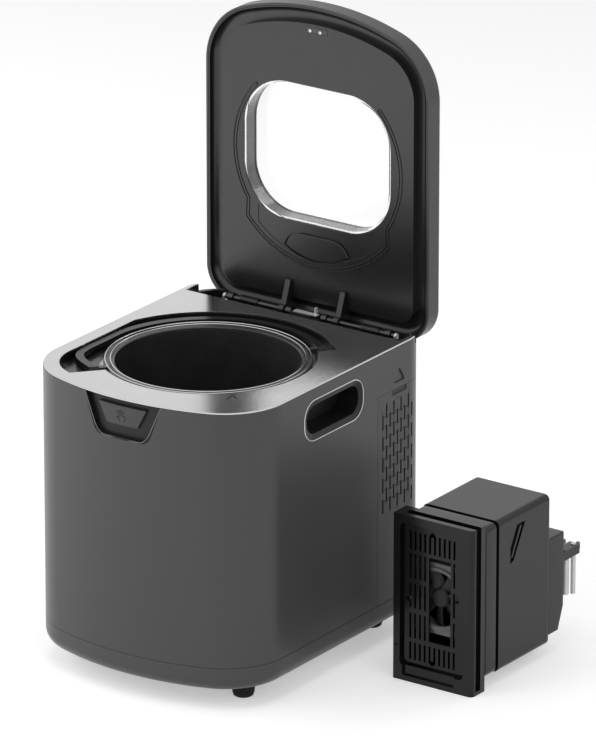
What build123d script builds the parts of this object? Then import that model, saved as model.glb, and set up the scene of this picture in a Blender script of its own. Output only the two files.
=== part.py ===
from build123d import *
import math
import os

# Electric food waste composter: D-shaped housing with a lift-up lid, a lift-out bucket with a
# stirrer, and its filter cartridge standing beside it.  Millimetres, +Z up.  The origin is on the
# table under the middle of the housing; -Y is the front and +X the right-hand side.

# ---------------------------------------------------------------- driving dimensions
# housing, a D in plan: bowed front, straight sides, flat back
body_width = 270.0
body_depth = 333.0
front_radius = 274.0
front_corner = 68.0
rear_corner = 36.0
front_y = -body_depth / 2
rear_y = body_depth / 2
side_x = body_width / 2
wall = 2.6
gap = 0.3                      # between mouldings that meet
running = 0.05                 # radial, shaft in hole
foot_height = 18.0
foot_radius = 12.0
foot_inset_x = 39.0            # foot centre from the side of the housing
foot_inset_front = 68.0
foot_inset_rear = 44.0
pan_floor = 3.0
pan_height = 26.0              # underside of the pan to the seam
pan_round = 15.0
shell_height = 263.0           # seam to the top of the shroud
deck_rim = 1.5                 # deck flange that shows above the shroud
deck_plate = 4.0
deck_border = 16.0             # flat border round the sunk handle tray
# bucket and chamber
bucket_y = front_y + 145.5
bucket_radius = 93.0
bucket_wall = 1.5
bucket_depth = 150.0
bucket_rim_width = 9.5
bucket_rim_height = 2.4
bucket_rim_drop = 3.9          # rim below the deck
liner_clearance = 7.0          # bucket wall to liner wall
liner_wall = 1.5
deck_hole_clearance = 4.5      # bucket rim to the edge of the deck opening
sleeve_wall = 2.4
# sunk tray for the bail, and the bail
tray_depth = 9.0
tray_floor = 2.0
tray_reach = 126.0             # radius of the tray about the bucket
tray_past_pivot = 14.0         # how far the tray runs past the pivot line
bail_turn = 49.0               # direction of the pivot line, degrees from +X
bail_radius = 114.0
bail_neck = 126.0              # radius of the swan neck near the front pivot
bail_width = 8.0
bail_thick = 5.4
pivot_boss = 3.9
pivot_pin = 1.8
# carry slots
slot_length = 101.0
slot_height = 43.0
slot_hole_length = 88.0
slot_hole_height = 29.5
slot_z = 274.0
slot_depth = 28.0
# start button and its sunk surround
bezel_top = 91.0
bezel_bottom = 61.0
bezel_height = 42.0
bezel_round = 11.0
bezel_sink = 5.0
bezel_plate = 2.2
button_top = 56.0
button_bottom = 36.0
button_height = 19.5
button_below_deck = 8.5
button_proud = 3.4             # button face in front of the surround's floor
# rear cover
cover_seam_y = rear_y - 92.0
cover_top = 264.0
vent_pitch = 6.3
vent_columns = 9
vent_width = 2.2
vent_length = 15.0
vent_row = 22.0
vent_rows = 5
vent_first_y = rear_y - 82.5
vent_first_z = 139.0
catch_length = 24.0
catch_height = 5.0
catch_y = rear_y - 54.5
thumb_base = 20.0
thumb_height = 15.0
thumb_depth = 1.5
# lid
lid_inset = 1.0
lid_thick = 20.5
lid_skin = 2.4
lid_round = 4.5
lid_gap = 1.0                  # lid above the deck when shut
lid_rear = rear_y - 3.5
hinge_y = rear_y - 13.5
hinge_below_deck = 10.5
hinge_rod = 3.0
hinge_notch = 112.0            # half width of the notch that lets the lid's edge down
hinge_room = 129.0             # half width of the hinge trough
hinge_trough_front = rear_y - 45.5
hinge_trough_floor = 284.5
rear_corner_drop = 7.0         # the shroud's rear corners stand lower than the rest
rear_corner_y = rear_y - 24.5
rib_front = hinge_y - 29.0     # tip of the hinge arms' ribs on the inner panel
panel_edge = 4.2               # lid edge to the channel
panel_inset = 19.0             # lid edge to the flat inner panel
channel_depth = 8.5
channel_round = 8.0
window_width = 175.0
window_length = 143.0
window_corner = 50.0
window_y = bucket_y + 11.0
window_wall = 2.0
window_pane = 2.2
ring_y = bucket_y + 15.4
ring_side = 99.5               # middle of the sealing ridges beside the window
ring_back = 111.5              # and behind it
ridge = 1.3
ridge_step = 3.2               # between the twin ridges
ridge_proud = 0.8
vent_area_radius = 104.5       # sunk area round the vent cover
vent_area_half = 71.0
vent_lens_width = 77.0
vent_lens_height = 24.5
vent_lens_bow = 74.0
vent_lens_round = 21.0
vent_lens_y = rear_y - 80.2
# drive
gear_module = 1.5
gear_teeth = 36
pinion_teeth = 12
gear_thick = 8.0
gear_backlash = 0.35
shaft_radius = 6.0
motor_shaft = 4.0
motor_radius = 30.0
motor_height = 48.0
motor_plate_z = 104.0
motor_plate = 3.0
gearbox_height = 22.0
gearbox_wall = 3.0
dog_size = 13.0
dog_height = 8.0
dog_clearance = 0.5
dog_lift = 2.0                 # driving head above the chamber floor
dog_top_gap = 3.0              # driving head to the underside of the bucket
socket_gap = 1.2               # socket to the bucket and to the chamber floor
heater_thick = 4.0
stirrer_hub = 12.0
stirrer_reach = 85.0
stirrer_blades = 3
stirrer_height = 34.0
stirrer_shaft = 5.0
blade_thick = 5.0
blade_height = 22.0
# filter bay and inlet
bay_front = rear_y - 82.5
bay_floor = 86.0
bay_wall = 2.0
bay_left = -101.0
inlet_x = -78.0
inlet_width = 31.0
inlet_height = 24.0
inlet_depth = 22.0
inlet_z = 60.0
socket_width = 24.0
socket_height = 17.0
socket_depth = 16.0
# filter cartridge, standing to the right of the housing
cart_x = 191.0
cart_y = 21.0
cart_width = 93.0
cart_height = 174.0
plate_depth = 10.0
flange_depth = 22.0
channel_front = 6.0
channel_back = 14.5
channel_sink = 4.0
band_depth = 24.0
cart_depth = 137.0
case_wall = 2.2
case_round = 6.0
grille_thick = 3.0
grille_columns = 10
outlet_depth = 27.0
outlet_left = 22.0
outlet_right = 91.5
outlet_low = 12.0
outlet_high = 122.0
fan_radius = 33.0
fan_depth = 16.0
filter_depth = 52.0

# ---------------------------------------------------------------- levels worked out from them
pan_z = foot_height
seam_z = pan_z + pan_height
shell_top = seam_z + shell_height
deck_top = shell_top + deck_rim
tray_z = deck_top - tray_depth
rim_top = deck_top - bucket_rim_drop
rim_low = rim_top - bucket_rim_height
bucket_low = rim_low - bucket_depth
rim_radius = bucket_radius + bucket_rim_width
liner_in = bucket_radius + liner_clearance
liner_out = liner_in + liner_wall
deck_hole = rim_radius + deck_hole_clearance
liner_top = rim_low - gap
liner_low = bucket_low - dog_height - liner_wall - dog_lift - dog_top_gap
hinge_z = deck_top - hinge_below_deck
lid_low = deck_top + lid_gap
lid_top = lid_low + lid_thick
collar_low = tray_z - tray_floor - gap


# ---------------------------------------------------------------- shapes that repeat
def outline(inset, rear=rear_y):
    """The D-shaped plan of the housing, moved in by inset; rear is where its back lies."""
    half = side_x - inset
    bow = front_radius - inset
    round_front = front_corner - inset
    round_rear = max(rear_corner - inset, 2.0)
    back = rear - inset
    bow_y = front_y + front_radius
    corner_y = bow_y - math.sqrt((bow - round_front) ** 2 - (half - round_front) ** 2)
    turn = math.degrees(math.atan2(half - round_front, bow_y - corner_y))
    edges = Curve() + [
        CenterArc((0, bow_y), bow, 270 - turn, 2 * turn),
        CenterArc((half - round_front, corner_y), round_front, 270 + turn, 90 - turn),
        Line((half, corner_y), (half, back - round_rear)),
        CenterArc((half - round_rear, back - round_rear), round_rear, 0, 90),
        Line((half - round_rear, back), (round_rear - half, back)),
        CenterArc((round_rear - half, back - round_rear), round_rear, 90, 90),
        Line((-half, back - round_rear), (-half, corner_y)),
        CenterArc((round_front - half, corner_y), round_front, 180, 90 - turn),
    ]
    return make_face(edges)


def slab(inset, low, high, rear=rear_y):
    """A block with the housing's plan, from one level to another."""
    return extrude(Pos(0, 0, low) * outline(inset, rear), high - low, dir=(0, 0, 1))


def block(x0, x1, y0, y1, z0, z1):
    """A plain box between two corners."""
    middle = Pos((x0 + x1) / 2, (y0 + y1) / 2, (z0 + z1) / 2)
    return middle * Box(abs(x1 - x0), abs(y1 - y0), abs(z1 - z0))


def rod(radius, low, high, x=0.0, y=0.0):
    """An upright cylinder."""
    return Pos(x, y, (low + high) / 2) * Cylinder(radius, high - low)


def tube(outer, inner, low, high, x=0.0, y=0.0):
    """An upright ring."""
    return rod(outer, low, high, x, y) - rod(inner, low - 1, high + 1, x, y)


def cross_rod(radius, x0, x1, y, z):
    """A cylinder along X."""
    return Pos((x0 + x1) / 2, y, z) * Rot(0, 90, 0) * Cylinder(radius, x1 - x0)


def deep_rod(radius, y0, y1, x, z):
    """A cylinder along Y."""
    return Pos(x, (y0 + y1) / 2, z) * Rot(90, 0, 0) * Cylinder(radius, y1 - y0)


def rounded(width, height, corner, x0, x1, y, z):
    """A rounded rectangle in the side wall, run along X."""
    side = Plane(origin=(x0, y, z), x_dir=(0, 1, 0), z_dir=(1, 0, 0))
    return extrude(side * RectangleRounded(width, height, corner), x1 - x0)


def group(*pieces):
    """Several separate solids in one node."""
    return Compound(children=[solid for piece in pieces for solid in piece.solids()])


def trapezoid(top, bottom, height, corner, high, y0, y1):
    """An upright trapezoid with rounded lower corners, run along Y from y0 to y1."""
    face = make_face(Polyline(
        (-top / 2, 0), (-bottom / 2, -height), (bottom / 2, -height), (top / 2, 0), close=True))
    if corner > 0:
        face = fillet(face.vertices().group_by(Axis.Y)[0], corner)
    plane = Plane(origin=(0, y0, high), x_dir=(1, 0, 0), z_dir=(0, -1, 0))
    return extrude(plane * face, y0 - y1)


def coil(radius, wire, pitch, height):
    """A helical spring standing on the origin."""
    path = Helix(pitch=pitch, height=height, radius=radius)
    start = Plane(origin=path @ 0, z_dir=path % 0)
    return sweep(start * Circle(wire), path=path)


nodes = {}


# ---------------------------------------------------------------- housing: shroud, cover and pan
def slot_cut(clear, x0, x1):
    """The rounded opening of a carry slot, in the right-hand wall."""
    return rounded(slot_length + 2 * clear, slot_height + 2 * clear, slot_height / 2 - 3.5 + clear,
                   x0, x1, 0, slot_z)


def both_sides(shape):
    """A shape on the right, with its mirror image on the left."""
    return [shape, mirror(shape, about=Plane.YZ)]


hinge_trough = block(-hinge_notch, hinge_notch, hinge_trough_front, rear_y + 20,
                     hinge_trough_floor, deck_top + 5)
rear_corners = block(-side_x - 5, side_x + 5, rear_corner_y, rear_y + 20,
                     shell_top - rear_corner_drop, deck_top + 5)
bezel_drop = deck_rim + gap
bezel_cut = trapezoid(bezel_top + 2 * gap, bezel_bottom + 2 * gap, bezel_height - bezel_drop + gap,
                      bezel_round, deck_top - bezel_drop + gap, front_y - 5, front_y + 30)
cover_zone = block(-side_x - 5, side_x + 5, cover_seam_y, rear_y + 5, seam_z - 5, cover_top)


def thumb_dimple():
    """Triangular hollow above the rear cover that guides the thumb to its catch."""
    side = Plane(origin=(side_x + 5, catch_y, cover_top + 6), x_dir=(0, 1, 0), z_dir=(1, 0, 0))
    face = make_face(Polyline(
        (-thumb_base / 2, 0), (thumb_base / 2, 0), (0, thumb_height), close=True))
    face = fillet(face.vertices(), 1.5)
    return extrude(side * face, -(5 + thumb_depth))


def make_outer_shell():
    low = seam_z + gap
    shell = slab(0, low, shell_top) - slab(wall, low - 1, shell_top + 1)
    shell -= cover_zone
    shell -= hinge_trough
    shell -= rear_corners
    shell -= bezel_cut
    for cut in both_sides(slot_cut(0, side_x - 20, side_x + 5)):
        shell -= cut
    for cut in both_sides(thumb_dimple()):
        shell -= cut
    return shell


def vent_slots():
    """Upright slots of the rear cover in staggered columns, cut through both sides."""
    slots = []
    for column in range(vent_columns):
        shift = vent_row / 2 if column % 2 else 0.0
        for row in range(vent_rows):
            y = vent_first_y + column * vent_pitch
            z = vent_first_z + shift + row * vent_row
            slots.append(rounded(vent_width, vent_length, vent_width / 2 - 0.05,
                                 side_x - 14, side_x + 4, y, z + vent_length / 2))
    return slots


catch_low = cover_top - gap - catch_height


def catch_cut(clear):
    """Notch in the cover's top edge for a catch."""
    half = catch_length / 2 + clear
    return block(side_x - 12, side_x + 4, catch_y - half, catch_y + half,
                 catch_low - clear, cover_top + 3)


inlet_window = block(inlet_x - inlet_width / 2 - gap, inlet_x + inlet_width / 2 + gap,
                     rear_y - 10, rear_y + 5, inlet_z - inlet_height / 2 - gap,
                     inlet_z + inlet_height / 2 + gap)


def make_rear_cover():
    low = seam_z + gap
    cover = slab(0, low, cover_top - gap) - slab(wall, low - 1, cover_top + 1)
    cover &= block(-side_x - 5, side_x + 5, cover_seam_y + gap, rear_y + 5, low - 1, cover_top)
    slots = Compound(children=vent_slots())
    cover -= slots
    cover -= mirror(slots, about=Plane.YZ)
    for cut in both_sides(catch_cut(gap)):
        cover -= cut
    cover -= inlet_window
    return cover


def make_catch():
    """Push bar in the cover's top edge, with a keeper lip behind the shroud."""
    half = catch_length / 2
    bar = block(side_x - wall - 1.0, side_x - 0.6, catch_y - half, catch_y + half,
                catch_low, catch_low + catch_height)
    stem = block(side_x - wall - 5.0, side_x - wall - 1.0, catch_y - half + 4, catch_y + half - 4,
                 catch_low, catch_low + catch_height)
    return bar + stem


def make_base_pan():
    pan = slab(0, pan_z, seam_z)
    pan = fillet(pan.edges().group_by(Axis.Z)[0], pan_round)
    inner = slab(wall, pan_z + pan_floor, seam_z + 5)
    inner = fillet(inner.edges().group_by(Axis.Z)[0], pan_round - wall)
    pan -= inner
    for column in range(-4, 5):
        pan -= block(column * 12 - 2, column * 12 + 2, bucket_y - 54, bucket_y - 4,
                     pan_z - 1, pan_z + pan_floor + 1)
    return pan


foot_places = [
    (x * (side_x - foot_inset_x), y)
    for y in (front_y + foot_inset_front, rear_y - foot_inset_rear) for x in (-1, 1)]


def make_feet():
    feet = []
    for x, y in foot_places:
        foot = rod(foot_radius, 0, pan_z - 0.1, x, y)
        foot = fillet(foot.edges().group_by(Axis.Z)[0], 4.0)
        feet.append(foot)
    return group(*feet)


# ---------------------------------------------------------------- deck
def pivot_frame(angle_z=0.0):
    """Frame on the bucket's axis, +X along the bail's pivot line."""
    return Pos(0, bucket_y, 0) * Rot(0, 0, bail_turn + angle_z)


def tray_zone(low, high):
    """Sunk half-ring beside the bucket in which the folded bail lies."""
    ring = rod(tray_reach, low, high, 0, bucket_y)
    corner = pivot_frame() * block(-tray_reach - 22, -bail_radius + 18, -tray_past_pivot, 60, low, high)
    half = pivot_frame() * block(-220, 220, -tray_past_pivot, 220, low, high)
    zone = (ring + corner) & half
    return zone & slab(deck_border, low - 1, high + 1, rear=hinge_trough_front + 10)


def make_top_deck():
    deck = slab(gap, shell_top, deck_top)
    deck = chamfer(deck.edges().group_by(Axis.Z)[-1], 0.6)
    deck += slab(wall + gap, deck_top - deck_plate, shell_top)
    deck += tray_shell()
    deck += rod(deck_hole + 3, collar_low, deck_top - 0.1, 0, bucket_y)
    deck -= tray_zone(tray_z, deck_top + 1)
    deck -= rod(deck_hole, collar_low - 1, deck_top + 1, 0, bucket_y)
    trough = block(-hinge_room - 2, hinge_room + 2, hinge_trough_front - 2, rear_y - 0.5,
                   hinge_trough_floor - 2.4, deck_top - 0.1)
    deck += trough & slab(wall + gap, hinge_trough_floor - 3, deck_top)
    room = block(-hinge_room, hinge_room, hinge_trough_front, rear_y, hinge_trough_floor, deck_top + 5)
    deck -= room & slab(wall + gap + 2.0, hinge_trough_floor - 1, deck_top + 6)
    return deck - hinge_trough - rear_corners - bezel_cut


def tray_shell():
    """The tray's floor and side walls, before it is hollowed."""
    ring = rod(tray_reach + 2, tray_z - tray_floor, deck_top - 0.1, 0, bucket_y)
    corner = pivot_frame() * block(-tray_reach - 24, -bail_radius + 18, -tray_past_pivot - 2, 62,
                                   tray_z - tray_floor, deck_top - 0.1)
    half = pivot_frame() * block(-220, 220, -tray_past_pivot - 2, 222,
                                 tray_z - tray_floor, deck_top - 0.1)
    zone = (ring + corner) & half
    zone &= slab(deck_border - 2, tray_z - 10, deck_top + 1, rear=hinge_trough_front + 12)
    return zone


# ---------------------------------------------------------------- carry slots
def make_carry_handle():
    """Moulded cup behind a carry slot, with a bevelled rim flush with the shroud."""
    flange = slot_cut(-gap, side_x - wall, side_x)
    corner = slot_hole_height / 2 - 1.5
    cup = rounded(slot_hole_length + 3.2, slot_hole_height + 3.2, corner + 1.6,
                  side_x - slot_depth, side_x - wall, 0, slot_z)
    handle = flange + cup
    handle -= rounded(slot_hole_length, slot_hole_height, corner,
                      side_x - slot_depth + 1.6, side_x + 1, 0, slot_z)
    mouth = Plane(origin=(side_x, 0, slot_z), x_dir=(0, 1, 0), z_dir=(1, 0, 0))
    wide = mouth * RectangleRounded(slot_length - 2.4, slot_height - 2.4, slot_height / 2 - 4.7)
    narrow = mouth.offset(-2.0) * RectangleRounded(slot_hole_length, slot_hole_height, corner)
    return handle - loft([narrow, wide])


# ---------------------------------------------------------------- start button
def make_bezel():
    """Sunk surround of the start button, following the bow of the front."""
    top = deck_top - bezel_drop
    height = bezel_height - bezel_drop
    outer = trapezoid(bezel_top, bezel_bottom, height, bezel_round, top, front_y - 5, front_y + 30)
    inner = trapezoid(bezel_top - 3.4, bezel_bottom - 2.6, height - 1.6, bezel_round - 1.2, top + 0.1,
                      front_y - 5, front_y + 30)
    bezel = outer & slab(0.3, top - 60, top)
    bezel -= slab(bezel_sink + bezel_plate, top - 80, top + 5)
    hollow = inner - slab(bezel_sink, top - 80, top + 5)
    bezel -= hollow
    hole = trapezoid(button_top + 2 * gap, button_bottom + 2 * gap, button_height + 2 * gap, 2.0,
                     deck_top - button_below_deck + gap, front_y - 5, front_y + 30)
    return bezel - hole


def make_button():
    top = deck_top - button_below_deck
    body = trapezoid(button_top, button_bottom, button_height, 1.8, top, front_y - 5, front_y + 30)
    key = body & slab(bezel_sink - button_proud, top - 40, top + 5)
    key -= slab(bezel_sink + bezel_plate + gap, top - 60, top + 20)
    flange = trapezoid(button_top + 5, button_bottom + 5, button_height + 4, 1.8, top + 2,
                       front_y - 5, front_y + 30)
    flange &= slab(bezel_sink + bezel_plate + gap, top - 40, top + 5)
    flange -= slab(bezel_sink + bezel_plate + gap + 1.8, top - 60, top + 20)
    return key + flange


button_back_y = front_y + bezel_sink + bezel_plate + gap + 1.8 + 1.0
board_y = button_back_y + 8.0
button_mid_z = deck_top - button_below_deck - button_height / 2


def make_button_spring():
    start = Pos(0, button_back_y + 2.3, button_mid_z) * Rot(90, 0, 0)
    return start * coil(3.6, 0.45, 1.5, 2.8)


def make_button_board():
    """Small circuit board with its tact switch, on two posts from the surround."""
    board = block(-34, 34, board_y, board_y + 1.6, button_mid_z - 15, button_mid_z + 12)
    switch = block(-5, 5, board_y - 3.0, board_y, button_mid_z - 5, button_mid_z + 5)
    return board + switch


def make_board_posts():
    posts = []
    for x in (-31.5, 31.5):
        reach = front_y + bezel_sink + bezel_plate + (front_radius - math.sqrt(
            front_radius ** 2 - x ** 2)) + 0.6
        posts.append(deep_rod(2.4, reach, board_y - 0.1, x, button_mid_z - 11))
    return group(*posts)


nodes["outer_shell"] = make_outer_shell()
nodes["rear_cover"] = make_rear_cover()
right_catch = make_catch()
nodes["cover_catch_right"] = right_catch
nodes["cover_catch_left"] = mirror(right_catch, about=Plane.YZ)
nodes["base_pan"] = make_base_pan()
nodes["rubber_feet"] = make_feet()
nodes["top_deck"] = make_top_deck()
nodes["carry_handles"] = group(*both_sides(make_carry_handle()))
nodes["button_bezel"] = make_bezel()
nodes["start_button"] = make_button()
nodes["button_spring"] = make_button_spring()


# ---------------------------------------------------------------- chamber round the bucket
def make_chamber_liner():
    """Aluminium can that holds the bucket; its flange is screwed under the deck."""
    liner = rod(liner_out, liner_low, liner_top, 0, bucket_y)
    liner -= rod(liner_in, liner_low + liner_wall, liner_top + 1, 0, bucket_y)
    liner += tube(deck_hole + 6, liner_out - 0.2, collar_low - 1.9, collar_low - 0.2, 0, bucket_y)
    liner -= rod(shaft_radius + 1.0, liner_low - 1, liner_low + 3, 0, bucket_y)
    liner -= deep_rod(duct_radius - 1.6, bucket_y + 61, bucket_y + 105, duct_x, duct_z)
    return liner


duct_x = -58.0
duct_z = 250.0
duct_radius = 12.0


def make_exhaust_duct():
    """Stub from the chamber to the filter bay."""
    duct = deep_rod(duct_radius, bucket_y + 61, bay_front - 0.1, duct_x, duct_z)
    duct -= deep_rod(duct_radius - 1.6, bucket_y + 60, bay_front + 1, duct_x, duct_z)
    return duct - rod(liner_out + sleeve_wall + 0.6, duct_z - 50, duct_z + 50, 0, bucket_y)


def make_insulation():
    """Felt sleeve round the chamber."""
    sleeve = tube(liner_out + 0.2 + sleeve_wall, liner_out + 0.2, liner_low + 8, collar_low - 4,
                  0, bucket_y)
    return sleeve - deep_rod(duct_radius + 1.0, bucket_y + 51, bucket_y + 111, duct_x, duct_z)


def make_heater():
    """Heating plate clamped under the chamber."""
    return tube(78, 22, liner_low - heater_thick - 0.1, liner_low - 0.1, 0, bucket_y)


chassis_corners = [(-64, -52), (64, -52), (-64, 60), (64, 60)]


def make_motor_plate():
    """Steel plate that carries gearbox and chamber on four posts."""
    xs = [x for x, _ in chassis_corners]
    ys = [y for _, y in chassis_corners]
    plate = block(min(xs) - 10, max(xs) + 10, bucket_y + min(ys) - 10, bucket_y + max(ys) + 10,
                  motor_plate_z, motor_plate_z + motor_plate)
    plate -= rod(motor_shaft + 4, motor_plate_z - 1, motor_plate_z + 9, 0, pinion_y)
    return fillet(plate.edges().filter_by(Axis.Z).group_by(SortBy.LENGTH)[0], 6.0)


def make_chassis_posts():
    """Posts from the pan to the motor plate, and legs from there to the chamber."""
    posts = [rod(5.0, pan_z + pan_floor, motor_plate_z - 0.1, x, bucket_y + y)
             for x, y in chassis_corners]
    legs = [rod(4.0, motor_plate_z + motor_plate + 0.1, liner_low - 0.1, x, bucket_y + y)
            for x, y in chassis_corners]
    return group(*posts, *legs)


# ---------------------------------------------------------------- gear motor
pitch_radius = gear_module * gear_teeth / 2
pinion_pitch = gear_module * pinion_teeth / 2
pinion_y = bucket_y + pitch_radius + pinion_pitch
gearbox_low = motor_plate_z + motor_plate
gear_low = gearbox_low + gearbox_wall + 3.0


def gear(teeth, turn, low, high):
    """Spur gear with straight-flanked teeth; turn points one tooth along that direction."""
    pitch = gear_module * teeth / 2
    root = pitch - 1.25 * gear_module
    tip = pitch + gear_module * 0.9
    body = rod(root, low, high)
    half_pitch = math.pi * gear_module / 4 - gear_backlash / 2
    lean = gear_module * math.tan(math.radians(20))
    profile = make_face(Polyline(
        (root - 0.6, -half_pitch - lean), (root - 0.6, half_pitch + lean),
        (tip, half_pitch - lean * 0.8), (tip, -half_pitch + lean * 0.8), close=True))
    tooth = extrude(Pos(0, 0, low) * profile, high - low, dir=(0, 0, 1))
    for index in range(teeth):
        body += Rot(0, 0, turn + index * 360 / teeth) * tooth
    return body


def make_output_gear():
    wheel = Pos(0, bucket_y, 0) * gear(gear_teeth, 90, gear_low, gear_low + gear_thick)
    return wheel - rod(shaft_radius + 0.02, gear_low - 1, gear_low + gear_thick + 1, 0, bucket_y)


def make_pinion():
    """Pinion cut on the end of the motor's shaft."""
    wheel = Pos(0, pinion_y, 0) * gear(pinion_teeth, 90 + 180 / pinion_teeth,
                                       gear_low, gear_low + gear_thick)
    return wheel + rod(motor_shaft, motor_plate_z - 4, gear_low + gear_thick + 2, 0, pinion_y)


def make_drive_shaft():
    """Output shaft with the square driving head above the chamber floor."""
    low = liner_low + liner_wall + dog_lift
    shaft = rod(shaft_radius, gearbox_low + 1.0, low, 0, bucket_y)
    return shaft + Pos(0, bucket_y, low + dog_height / 2) * Box(dog_size, dog_size, dog_height)


def make_motor():
    """Can motor hung under the plate, with its terminal cap."""
    can = rod(motor_radius, motor_plate_z - motor_height, motor_plate_z - 0.1, 0, pinion_y)
    can = fillet(can.edges().group_by(Axis.Z)[0], 4.0)
    cap = rod(12, motor_plate_z - motor_height - 7, motor_plate_z - motor_height, 0, pinion_y)
    return can + cap - rod(motor_shaft + 0.5, motor_plate_z - 5, motor_plate_z, 0, pinion_y)


def make_gearbox():
    """Two-part gearbox casting, joined here, hollow round the gear pair."""
    width = pitch_radius + 12
    front = bucket_y - width
    back = pinion_y + pinion_pitch + 9
    top = gearbox_low + gearbox_height
    box = block(-width, width, front, back, gearbox_low, top)
    box = fillet(box.edges().filter_by(Axis.Z), 8.0)
    inside = block(-width + 5, width - 5, front + 5, back - 5, gearbox_low + gearbox_wall,
                   top - gearbox_wall)
    box -= fillet(inside.edges().filter_by(Axis.Z), 5.0)
    box -= rod(shaft_radius + running, gearbox_low - 1, top + 1, 0, bucket_y)
    box -= rod(motor_shaft + running, gearbox_low - 1, gearbox_low + gearbox_wall + 1, 0, pinion_y)
    return box


def make_shaft_seal():
    """Lip seal where the shaft enters the chamber."""
    low = liner_low + liner_wall
    return tube(shaft_radius + 5, shaft_radius + running, low + 0.0, low + 1.8, 0, bucket_y)


nodes["chamber_liner"] = make_chamber_liner()
nodes["insulation_sleeve"] = make_insulation()
nodes["exhaust_duct"] = make_exhaust_duct()
nodes["heater_plate"] = make_heater()
nodes["motor_plate"] = make_motor_plate()
nodes["chassis_posts"] = make_chassis_posts()
nodes["output_gear"] = make_output_gear()
nodes["motor_pinion"] = make_pinion()
nodes["drive_shaft"] = make_drive_shaft()
nodes["drive_motor"] = make_motor()
nodes["gearbox"] = make_gearbox()
nodes["shaft_seal"] = make_shaft_seal()


# ---------------------------------------------------------------- bucket, stirrer and bail
bucket_floor = bucket_low + bucket_wall
lug_z = rim_top - 0.8


def make_bucket():
    """Drawn bucket with a rolled rim and a bush for the stirrer in its floor."""
    bucket = rod(bucket_radius, bucket_low, rim_low, 0, bucket_y)
    bucket = fillet(bucket.edges().group_by(Axis.Z)[0], 10.0)
    inner = rod(bucket_radius - bucket_wall, bucket_floor, rim_low + 5, 0, bucket_y)
    inner = fillet(inner.edges().group_by(Axis.Z)[0], 10.0 - bucket_wall)
    bucket -= inner
    bucket -= rod(stirrer_shaft + 2.0, bucket_low - 1, bucket_floor + 1, 0, bucket_y)
    return bucket


def make_bucket_rim():
    """Bright rim ring, with the two lugs and pins that carry the bail."""
    ring = tube(rim_radius, bucket_radius - bucket_wall, rim_low, rim_top, 0, bucket_y)
    ring = fillet(ring.edges().group_by(Axis.Z)[-1], 0.9)
    for end in (-1, 1):
        reach = end * (bail_radius - bail_width / 2 - gap)
        ring += pivot_frame() * block(end * (rim_radius - 3), reach, -3.5, 3.5, rim_low, lug_z + 3.2)
        tip = end * (bail_radius + bail_width / 2 + 0.6)
        ring += pivot_frame() * cross_rod(pivot_pin, min(reach, tip), max(reach, tip), 0, lug_z)
    return ring


def make_bail():
    """Half-ring handle with a swan neck at its front end."""
    start = 46.0
    ring = CenterArc((0, 0), bail_radius, 0, 180 - start)
    end_angle = math.radians(180 - start)
    tangent = (-math.sin(end_angle), math.cos(end_angle))
    neck_angle = math.radians(180 - 18.0)
    neck = Spline(
        ring @ 1, (bail_neck * math.cos(neck_angle), bail_neck * math.sin(neck_angle)),
        (-bail_radius, 0), tangents=[tangent, (0.25, -1.0)])
    low = lug_z - pivot_boss + 1.0
    band = extrude(Pos(0, 0, low) * trace(Curve() + [ring, neck], bail_width), bail_thick,
                   dir=(0, 0, 1))
    bail = band
    for end in (-1, 1):
        boss = cross_rod(pivot_boss, end * bail_radius - bail_width / 2,
                         end * bail_radius + bail_width / 2, 0, lug_z)
        bail += boss
    bail = pivot_frame() * bail
    holes = pivot_frame() * cross_rod(pivot_pin + running, -bail_radius - 20, bail_radius + 20, 0, lug_z)
    return bail - holes


def make_bucket_bush():
    """Sealed bush in the bucket's floor."""
    bush = tube(stirrer_shaft + 2.0 - 0.02, stirrer_shaft + running, bucket_low - 1.0,
                bucket_floor + 2.0, 0, bucket_y)
    flange = tube(stirrer_shaft + 6.0, stirrer_shaft + running, bucket_floor + 0.05,
                  bucket_floor + 2.0, 0, bucket_y)
    return bush + flange


def make_stirrer_shaft():
    """Stirrer spindle with the square socket that drops over the driving head."""
    socket_top = bucket_low - socket_gap
    socket_low = liner_low + liner_wall + dog_lift + socket_gap
    socket = rod(dog_size / 2 * math.sqrt(2) + 3.5, socket_low, socket_top, 0, bucket_y)
    side = dog_size + 2 * dog_clearance
    hole_top = liner_low + liner_wall + dog_lift + dog_height + 0.4
    socket -= Pos(0, bucket_y, (socket_low - 1 + hole_top) / 2) * Box(
        side, side, hole_top - socket_low + 1)
    return socket + rod(stirrer_shaft, socket_top - 0.5, bucket_floor + stirrer_height, 0, bucket_y)


def make_stirrer():
    """Cast stirrer: hub and swept blades."""
    low = bucket_floor + 2.6
    hub = rod(stirrer_hub, low, low + 32, 0, bucket_y)
    hub = fillet(hub.edges().group_by(Axis.Z)[-1], 5.0)
    for index in range(stirrer_blades):
        blade = block(stirrer_hub - 3, stirrer_reach - 12, -blade_thick / 2, blade_thick / 2,
                      low + 1, low + 1 + blade_height * 0.7)
        tip = block(stirrer_reach - 15, stirrer_reach, -blade_thick / 2, blade_thick / 2,
                    low + 1, low + 1 + blade_height * 2.6)
        hub += Pos(0, bucket_y, 0) * Rot(0, 0, index * 360 / stirrer_blades + 20) * (blade + tip)
    return hub - rod(stirrer_shaft, low - 1, bucket_floor + stirrer_height, 0, bucket_y)


nodes["bucket"] = make_bucket()
nodes["bucket_rim"] = make_bucket_rim()
nodes["bail_handle"] = make_bail()
nodes["bucket_bush"] = make_bucket_bush()
nodes["stirrer_spindle"] = make_stirrer_shaft()
nodes["stirrer"] = make_stirrer()


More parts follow.
